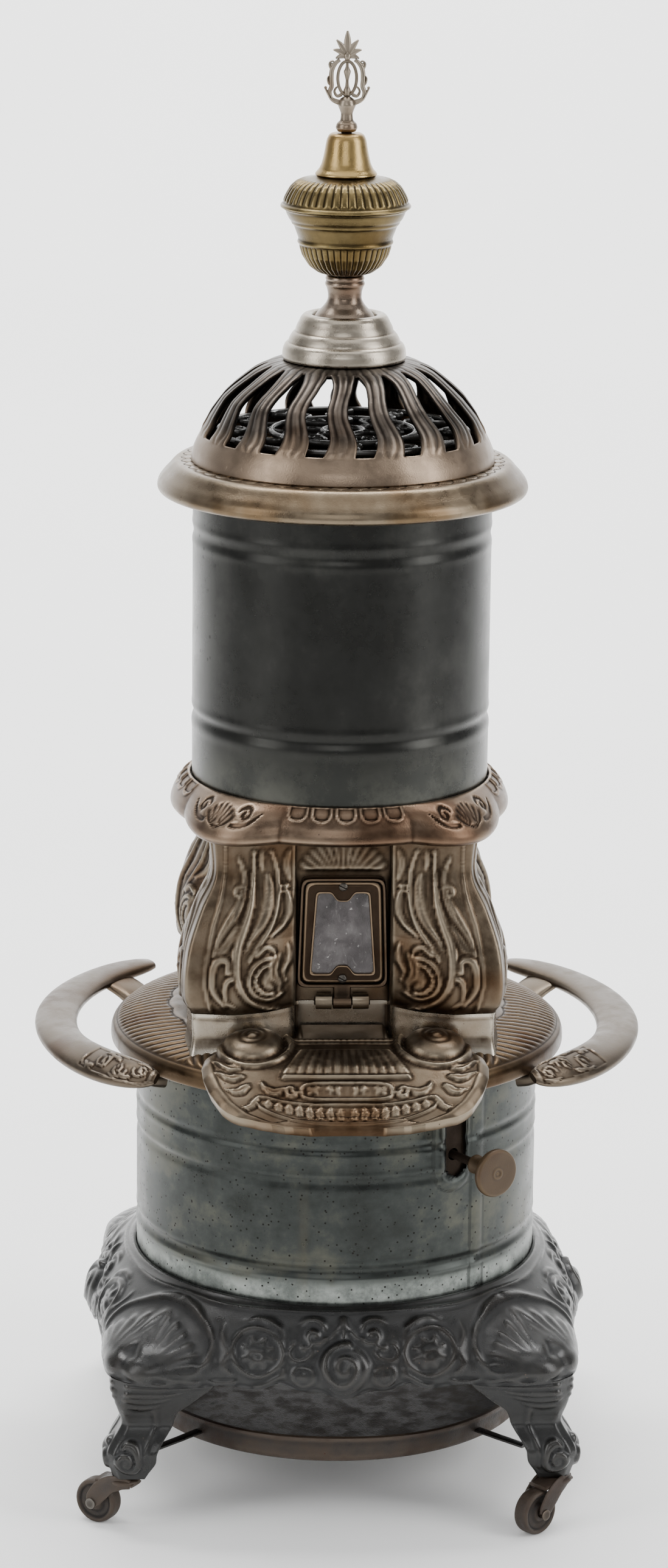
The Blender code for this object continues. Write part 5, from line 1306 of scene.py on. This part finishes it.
def skirtPiece():
    s = skirtSizes
    # half width, power, how far the middle of a side bulges, height
    stations = through([(143.7, 2.0, 0.0, 160.6), (146.2, 2.02, 0.0, 161.2), (148.6, 2.05, 0.3, 159.6), (151.8, 2.15, 0.6, 157.0),
                        (156.5, 2.4, 1.5, 151.0), (160.5, 2.9, 3.0, 143.0), (163.0, 3.9, 5.5, 135.0), (165.2, 6.2, 8.8, 126.5),
                        (166.0, 9.0, 10.0, 118.0), (165.6, 10.0, 10.0, s["low"])], 70)
    angle = np.arange(s["cols"])[None, :] * tau / s["cols"]
    half, power, bulge, z = (stations[:, k][:, None] for k in range(4))
    radius = squared(half, power, angle)
    u = radius * np.minimum(np.abs(np.cos(angle)), np.abs(np.sin(angle)))
    radius = radius + bulge * np.exp(-((u / 48.0) ** 2))
    x, y = radius * np.cos(angle), radius * np.sin(angle)
    signed = u * np.where(np.abs(x) > np.abs(y), np.sign(x * y), -np.sign(x * y))
    drop = 7.0 * np.exp(-((u / 15.0) ** 2)) + 2.0 * np.exp(-(((u - 28) / 9.0) ** 2)) + 2.6 * np.exp(-(((u - 62) / 13.0) ** 2))
    drop -= 2.6 * np.exp(-(((u - 44) / 6.0) ** 2))
    drop += 2.4 * eased((u - 84) / 16.0)
    share = np.clip((128.0 - z) / (128.0 - s["low"]), 0, 1) ** 1.2
    lowered = z - drop * share
    grid = np.stack([x, y, lowered], axis=2)
    tall = s["low"] + (z - s["low"]) * 1.26
    height = averaged(skirtOrnament(signed, tall + 0 * u), 3, False) * 1.15 * eased((160.4 - z) / 3.0)
    grid = raisedBy(grid[::-1], height[::-1])
    inner = []
    for offset, level in ((-6.0, 0.0), (-6.0, 8.0), (-7.0, 20.0), (-9.0, 30.0)):
        across, corner, swell = (np.interp(s["low"] + level, stations[::-1, 3], stations[::-1, k]) for k in range(3))
        wall = squared(across + offset, corner, angle[0]) + swell * np.exp(-((u[-1] / 48.0) ** 2))
        inner.append(np.stack([wall * np.cos(angle[0]), wall * np.sin(angle[0]),
                               s["low"] + level - drop[-1] * (level < 5)], axis=1))
    for r, level in ((136.0, 145.2), (136.0, 149.6), (143.6, 149.8)):
        inner.append(np.stack([r * np.cos(angle[0]), r * np.sin(angle[0]), np.full(s["cols"], level)], axis=1))
    whole = np.concatenate([grid, np.stack(inner[::-1])], axis=0)
    relief = np.concatenate([reliefOf(grid, False, 3, 1.0), np.full((len(inner), s["cols"]), 0.45)], axis=0)
    return addPiece("skirt", [(whole, True, relief)], "stove", blackIron, ("base_skirt",))


# the legs: two wings that meet at the corner and are drawn down to a scrolled foot

legSizes = {"cols": 150, "rows": 90, "low": 38.7, "high": 110.4}


def legPiece(sx, sy, name, replaced):
    s = legSizes
    # height, corner, how far each wing reaches, how thick it is
    knots = [(110.4, 161.6, 74.0, 8.0), (106.0, 161.6, 71.0, 8.2), (100.0, 160.8, 63.0, 8.6), (94.5, 159.0, 55.0, 9.4),
             (87.0, 156.6, 43.0, 12.0), (81.0, 154.6, 38.0, 15.0), (76.0, 154.0, 36.0, 17.6), (71.0, 156.6, 35.6, 20.0),
             (65.0, 161.0, 35.6, 23.0), (58.0, 164.0, 35.0, 25.6), (51.0, 163.4, 33.4, 25.0), (44.0, 161.4, 27.0, 22.0),
             (38.7, 160.0, 22.6, 18.6)]
    line = through(knots, s["rows"])
    rows, corners = [], []
    for z, corner, wing, thick in line:
        root = corner - thick
        cut = 5 + 7 * eased((z - 88) / 18)
        plan = [(corner, corner - cut), (corner - cut, corner), (corner - wing, corner), (corner - wing, corner - min(thick, 9)),
                (root, root), (corner - min(thick, 9), corner - wing), (corner, corner - wing)]
        rows.append(np.column_stack([outlineOf(plan, s["cols"], 3), np.full(s["cols"], z)]))
        corners.append(corner)
    grid = np.stack(rows)
    a, b, z = grid[..., 0], grid[..., 1], grid[..., 2]
    corner = np.array(corners)[:, None]
    outside = np.maximum(a, b) > corner - 2.5
    u = corner - np.minimum(a, b)
    h = np.zeros_like(u)
    for points, width, tall in (
        ([(8, 107.5), (24, 106.0), (44, 106.0), (66, 107.5)], 1.5, 0.8),
        ([(7, 102), (22, 100.6), (38, 101.4), (54, 104.0)], leafWidths(60, 2.8), 1.1),
        ([(7, 97), (19, 95.6), (32, 96.4), (44, 99.6)], leafWidths(60, 2.4), 1.0),
        ([(8, 92), (16, 90.6), (27, 91.6), (36, 95.0)], leafWidths(60, 2.0), 0.9),
        ([(26, 88), (24, 76), (26, 62), (24, 48)], 2.0, 0.9),
    ):
        ridge(h, u, z, through(points, 60), width, tall, groove=0.3)
    ridge(h, u, z, spiral((13.0, 53.0), 11.2, 2.2, 100, -1.7, 110), 3.2 - 1.4 * np.linspace(0, 1, 110), 3.4, groove=0.5)
    pearls(h, u, z, [(13.0, 53.0)], 3.4, 3.6)
    direction = np.sign(volumeOf(grid.reshape(-1, 3), *facesOf(*grid.shape[:2], False)))
    grid = raisedBy(grid, direction * averaged(h, 2, False) * outside * eased((z - 38.7) / 2) * eased((110.4 - z) / 2))
    relief = 0.5 + direction * (reliefOf(grid, False, 3, 1.2) - 0.5)
    grid = grid * np.array([sx, sy, 1.0])
    return addPiece(name, [(grid, False, relief)], "stove", blackIron, (replaced,))


# drip pan and casters

panSizes = {"radius": 140.0, "low": 41.0, "high": 60.0, "lugReach": 186.0}


def panPiece():
    s = panSizes
    r = s["radius"]
    outer = [(0.6, s["low"]), (r - 8, s["low"]), (r - 2.4, s["low"] + 0.8), (r, s["low"] + 3.4), (r + 0.2, 50.0),
             (r + 0.3, 56.8), (r + 1.6, 58.0), (r + 1.7, 59.8), (r + 0.4, 60.8), (r - 1.4, 60.4)]
    inner = [(r - 2.0, 57.0), (r - 2.4, 46.0), (r - 4.6, 43.6), (0.6, 43.4)]
    line = np.vstack([rounded(outer, 1.6, 2), rounded(inner, 3.0, 1)])
    grid = turnedGrid(line, 200)
    angle = np.arange(200) * tau / 200
    grid[..., 2] += (0.5 * np.sin(3 * angle + 0.6) + 0.3 * np.sin(7 * angle)) * np.clip((grid[..., 2] - 44) / 16, 0, 1)
    parts = [(grid, False)]
    for k in range(4):
        lug = sweep([(r - 1.0, 0, 49.8), (r + 20, 0, 49.6), (s["lugReach"] - 2, 0, 49.8)], 3.6, 1.1, (0, 0, 1), 16, 4.0)
        addPiece("panLug%d" % k, [(placed(lug, math.radians(45 + 90 * k)), False)], "stove", blackIron)
    return addPiece("dripPan", parts, "stove", rustyIron, ("drip_pan",))


casterSizes = {"xy": 151.5, "trail": 22.0, "wheel": 16.0, "headings": {"front_left": 147, "front_right": 222,
                                                                       "rear_left": 90, "rear_right": 90}}


def casterPieces(corner, sx, sy):
    s = casterSizes
    turn = math.radians(s["headings"][corner])
    shift = (s["xy"] * sx, s["xy"] * sy, 0)

    def set_(grid):
        return placed(grid, turn, shift)

    stem = rounded([(0.2, 33.0), (9.6, 33.0), (10.6, 34.4), (10.6, 36.0), (8.4, 37.2), (4.0, 37.8), (4.0, 53.0), (0.2, 53.6)],
                   0.8, 1)
    parts = [(set_(turnedGrid(stem, 32)), False)]
    for side in (-1, 1):
        arm = through([(-7.5, side * 5.0, 34.6), (0, side * 7.4, 34.8), (8.0, side * 8.8, 32.4), (15.0, side * 9.0, 26.4),
                       (20.0, side * 9.0, 20.0), (22.4, side * 9.0, 15.6)], 30)
        across = np.interp(np.linspace(0, 1, 30), [0, 0.25, 0.6, 0.85, 1], [3.4, 5.6, 7.0, 6.2, 4.6])
        parts.append((set_(sweep(arm, across, 1.35, (0, 1, 0), 18, 2.6)), False))
    saddle = through([(-9.4, 0, 33.6), (-4, 0, 35.6), (6, 0, 35.6), (14, 0, 34.0), (19.5, 0, 33.4)], 20)
    parts.append((set_(sweep(saddle, 1.6, np.linspace(6.5, 8.6, 20), (0, 1, 0), 18, 3.0)), False))
    addPiece("casterFork_" + corner, parts, "swivel_" + corner, rustyIron, ("caster_fork_" + corner,))
    r = s["wheel"]
    tread = rounded([(2.95, -6.4), (5.4, -6.5), (6.4, -5.4), (7.6, -4.6), (11.8, -4.4), (12.8, -5.6), (14.0, -6.1),
                     (15.3, -5.4), (r, -3.4), (r, 3.4), (15.3, 5.4), (14.0, 6.1), (12.8, 5.6), (11.8, 4.4), (7.6, 4.6),
                     (6.4, 5.4), (5.4, 6.5), (2.95, 6.4)], 0.7, 1, True)
    wheel = turnedGrid(tread, 72)
    x, y, z = wheel[..., 0], wheel[..., 1], wheel[..., 2]
    wheel = np.stack([x + s["trail"], z, y + r], axis=2)
    addPiece("casterWheel_" + corner, [(set_(wheel), True)], "wheel_" + corner, rustyIron,
             ("caster_wheel_" + corner,))
    pin = rounded([(0.2, -11.6), (2.6, -11.6), (3.9, -11.2), (3.9, -10.4), (2.45, -10.3), (2.45, 10.3), (3.9, 10.4),
                   (3.9, 11.2), (2.6, 11.6), (0.2, 11.6)], 0.6, 0)
    axle = turnedGrid(pin, 24)
    axle = np.stack([axle[..., 0] + s["trail"], axle[..., 2], axle[..., 1] + r], axis=2)
    addPiece("casterAxle_" + corner, [(set_(axle), False)], "swivel_" + corner, darkSteel,
             ("caster_axle_" + corner,))


# the wick knob: a flat disc with a tiny ring at its centre on a flared neck

knobSizes = {"radius": 17.0, "azimuth": 33.5, "z": 262.0}


def knobPiece():
    s = knobSizes
    r = s["radius"]
    outer = [(3.4, 164.2), (6.6, 164.2), (6.9, 166.0), (6.0, 170.0), (5.6, 176.0), (6.4, 181.4), (9.8, 184.2), (15.0, 185.2),
             (16.8, 186.0), (r + 0.1, 187.6), (16.8, 189.6), (15.8, 190.5), (13.0, 190.6), (4.4, 190.3), (3.7, 190.8),
             (2.9, 190.8), (2.2, 190.2), (0.3, 190.1)]
    line = rounded(outer, 0.6, 1)
    inner = [(0.3, 188.4), (3.4, 187.4), (3.4, 165.0)]
    grid = turnedGrid(np.vstack([line, rounded(inner, 3.0, 0)]), 96)
    grid = placed(layFlat(grid, (0, 0, s["z"])), math.radians(s["azimuth"]))
    return addPiece("wickKnob", [(grid, True)], "wick_shaft_set", copperKnob, ("wick_knob",))


drumPiece()
tankPiece()
waistPiece()
print("drums made")
casingPieces()
doorPieces()
deckPiece()
print("casing made")
for side, word in ((-1, "Left"), (1, "Right")):
    railPiece(side, "rail" + word, "side_rail_" + word.lower())
apronPiece()
print("apron made")
skirtPiece()
panPiece()
knobPiece()
for corner, sx, sy in (("front_left", -1, -1), ("front_right", 1, -1), ("rear_left", -1, 1), ("rear_right", 1, 1)):
    legPiece(sx, sy, "leg_" + corner + "_shape", "leg_" + corner)
    casterPieces(corner, sx, sy)
print("base made")


# the pieces inside keep their own shape and get the finish of what they are

def plainFinish(name, even, wearAndHighlight, metal, low, high, grain=90.0):
    return castMetal(name, {**castBase, "even": even, "wearAndHighlight": wearAndHighlight, "metal": metal, "roughLow": low, "roughHigh": high,
                            "mottleScale": grain})


tankBrass = plainFinish("tankBrass", rgb(168, 138, 82), rgb(206, 180, 120), 1.0, 0.28, 0.42)
plainSteel = plainFinish("plainSteel", rgb(118, 116, 112), rgb(160, 158, 152), 0.95, 0.3, 0.46)
sootySteel = plainFinish("sootySteel", rgb(52, 49, 46), rgb(88, 84, 78), 0.8, 0.42, 0.6)
wickCotton = plainFinish("wickCotton", rgb(196, 184, 158), rgb(214, 204, 180), 0.0, 0.85, 0.95, 400.0)
shaftSteel = plainFinish("shaftSteel", rgb(70, 60, 50), rgb(104, 92, 78), 0.8, 0.4, 0.55)

keptFinishes = {
    "tie_rod": plainSteel, "tie_rod_nut": plainSteel, "dome_hinge_pin": plainSteel, "door_hinge_pin": plainSteel,
    "slot_cover": sootySteel, "oil_tank": tankBrass, "filler_cap": tankBrass, "draft_tube": tankBrass,
    "wick_tube": tankBrass, "burner_gallery": sootySteel, "flame_spreader": sootySteel, "inner_flue": sootySteel,
    "wick": wickCotton, "wick_rack": tankBrass, "wick_pinion": tankBrass, "wick_shaft": shaftSteel,
    "shaft_bearing": plainSteel,
}
for name, finish in keptFinishes.items():
    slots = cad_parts[name].material_slots
    for slot in slots:
        slot.material = finish
print("inner pieces finished")


# floor, backdrop, lights and camera

stageSizes = {"half": 6.0, "near": -8.0, "bend": 2.2, "back": 3.2, "tall": 5.0, "steps": 16, "worldStrength": 0.55}
lightSizes = {
    # place, size, power, what it is aimed at
    "left": ((-2.3, -1.3, 1.5), (1.1, 2.6), 38.0, (0, 0, 0.5)), "right": ((2.3, -1.1, 1.5), (1.1, 2.6), 56.0, (0, 0, 0.5)),
    "top": ((0.0, -0.6, 3.2), (2.6, 2.0), 26.0, (0, 0, 0.5)), "front": ((-0.5, -4.4, 2.3), (2.2, 1.4), 34.0, (0, 0, 0.5)),
    "wall": ((0.0, 0.9, 3.6), (4.0, 1.0), 300.0, (0, 3.2, 0.6)),
}
cameraSizes = {"lens": 111.8, "distance": 3.44, "azimuth": -2.5, "pitch": 14.5, "aimX": -0.0038, "aimZ": 0.498,
               "roll": 0.62}


def backdrop():
    # a floor that bends up into a wall behind: a straight run, a quarter circle and another straight run,
    # with y and z of the curve as the bend's radius times the sine and one minus the cosine
    s = stageSizes
    turn = np.linspace(0, math.pi / 2, s["steps"])
    y = np.concatenate([[s["near"], s["back"] - s["bend"]], s["back"] - s["bend"] + s["bend"] * np.sin(turn)[1:], [s["back"]]])
    z = np.concatenate([[0.0, 0.0], s["bend"] * (1 - np.cos(turn))[1:], [s["tall"]]])
    x = np.array([-s["half"], s["half"]])
    grid = np.stack([np.tile(x, (len(y), 1)), np.tile(y[:, None], (1, 2)), np.tile(z[:, None], (1, 2))], axis=2)
    index = np.arange(len(y) * 2).reshape(-1, 2)
    faces = np.stack([index[:-1, 0], index[:-1, 1], index[1:, 1], index[1:, 0]], axis=1)
    mesh = bpy.data.meshes.new("backdrop")
    mesh.from_pydata(grid.reshape(-1, 3).tolist(), [], faces.tolist())
    mesh.shade_smooth()
    t = Tree("paleFloor")
    pale = t.finish(t.mix(t.spread(t.noise(3.0), 0.3, 0.7), rgb(248, 248, 247), rgb(251, 251, 250)), 0.0, 0.8)
    mesh.materials.append(pale)
    # clear from behind, so the wall never hides the heater
    nodes, links = pale.node_tree.nodes, pale.node_tree.links
    output = next(node for node in nodes if node.type == "OUTPUT_MATERIAL")
    oneSided, clear = nodes.new("ShaderNodeMixShader"), nodes.new("ShaderNodeBsdfTransparent")
    side = nodes.new("ShaderNodeNewGeometry")
    surface = output.inputs["Surface"].links[0].from_socket
    links.new(side.outputs["Backfacing"], oneSided.inputs[0])
    links.new(surface, oneSided.inputs[1])
    links.new(clear.outputs[0], oneSided.inputs[2])
    links.new(oneSided.outputs[0], output.inputs["Surface"])
    floor = bpy.data.objects.new("backdrop", mesh)
    bpy.context.scene.collection.objects.link(floor)


def softLights():
    for name, (place, size, power, aim) in lightSizes.items():
        light = bpy.data.lights.new(name, "AREA")
        light.shape = "RECTANGLE"
        light.size, light.size_y = size
        light.energy = power
        lamp = bpy.data.objects.new(name, light)
        lamp.location = place
        lamp.rotation_euler = (Vector(aim) - Vector(place)).to_track_quat("-Z", "Y").to_euler()
        bpy.context.scene.collection.objects.link(lamp)
    world = bpy.data.worlds.new("studio")
    world.use_nodes = True
    world.node_tree.nodes["Background"].inputs["Color"].default_value = rgb(225, 227, 230)
    world.node_tree.nodes["Background"].inputs["Strength"].default_value = stageSizes["worldStrength"]
    bpy.context.scene.world = world


def studioCamera():
    s = cameraSizes
    azimuth, pitch = math.radians(s["azimuth"]), math.radians(s["pitch"])
    aim = Vector((s["aimX"], 0, s["aimZ"]))
    away = Vector((math.sin(azimuth) * math.cos(pitch), -math.cos(azimuth) * math.cos(pitch), math.sin(pitch)))
    view = bpy.data.cameras.new("camera")
    view.lens = s["lens"]
    view.sensor_width = 36.0
    camera = bpy.data.objects.new("camera", view)
    camera.location = aim + away * s["distance"]
    look = (-away).to_track_quat("-Z", "Y")
    camera.rotation_mode = "QUATERNION"
    camera.rotation_quaternion = look @ Quaternion((0, 0, 1), math.radians(s["roll"]))
    bpy.context.scene.collection.objects.link(camera)
    bpy.context.scene.camera = camera


backdrop()
softLights()
studioCamera()
print("studio made")
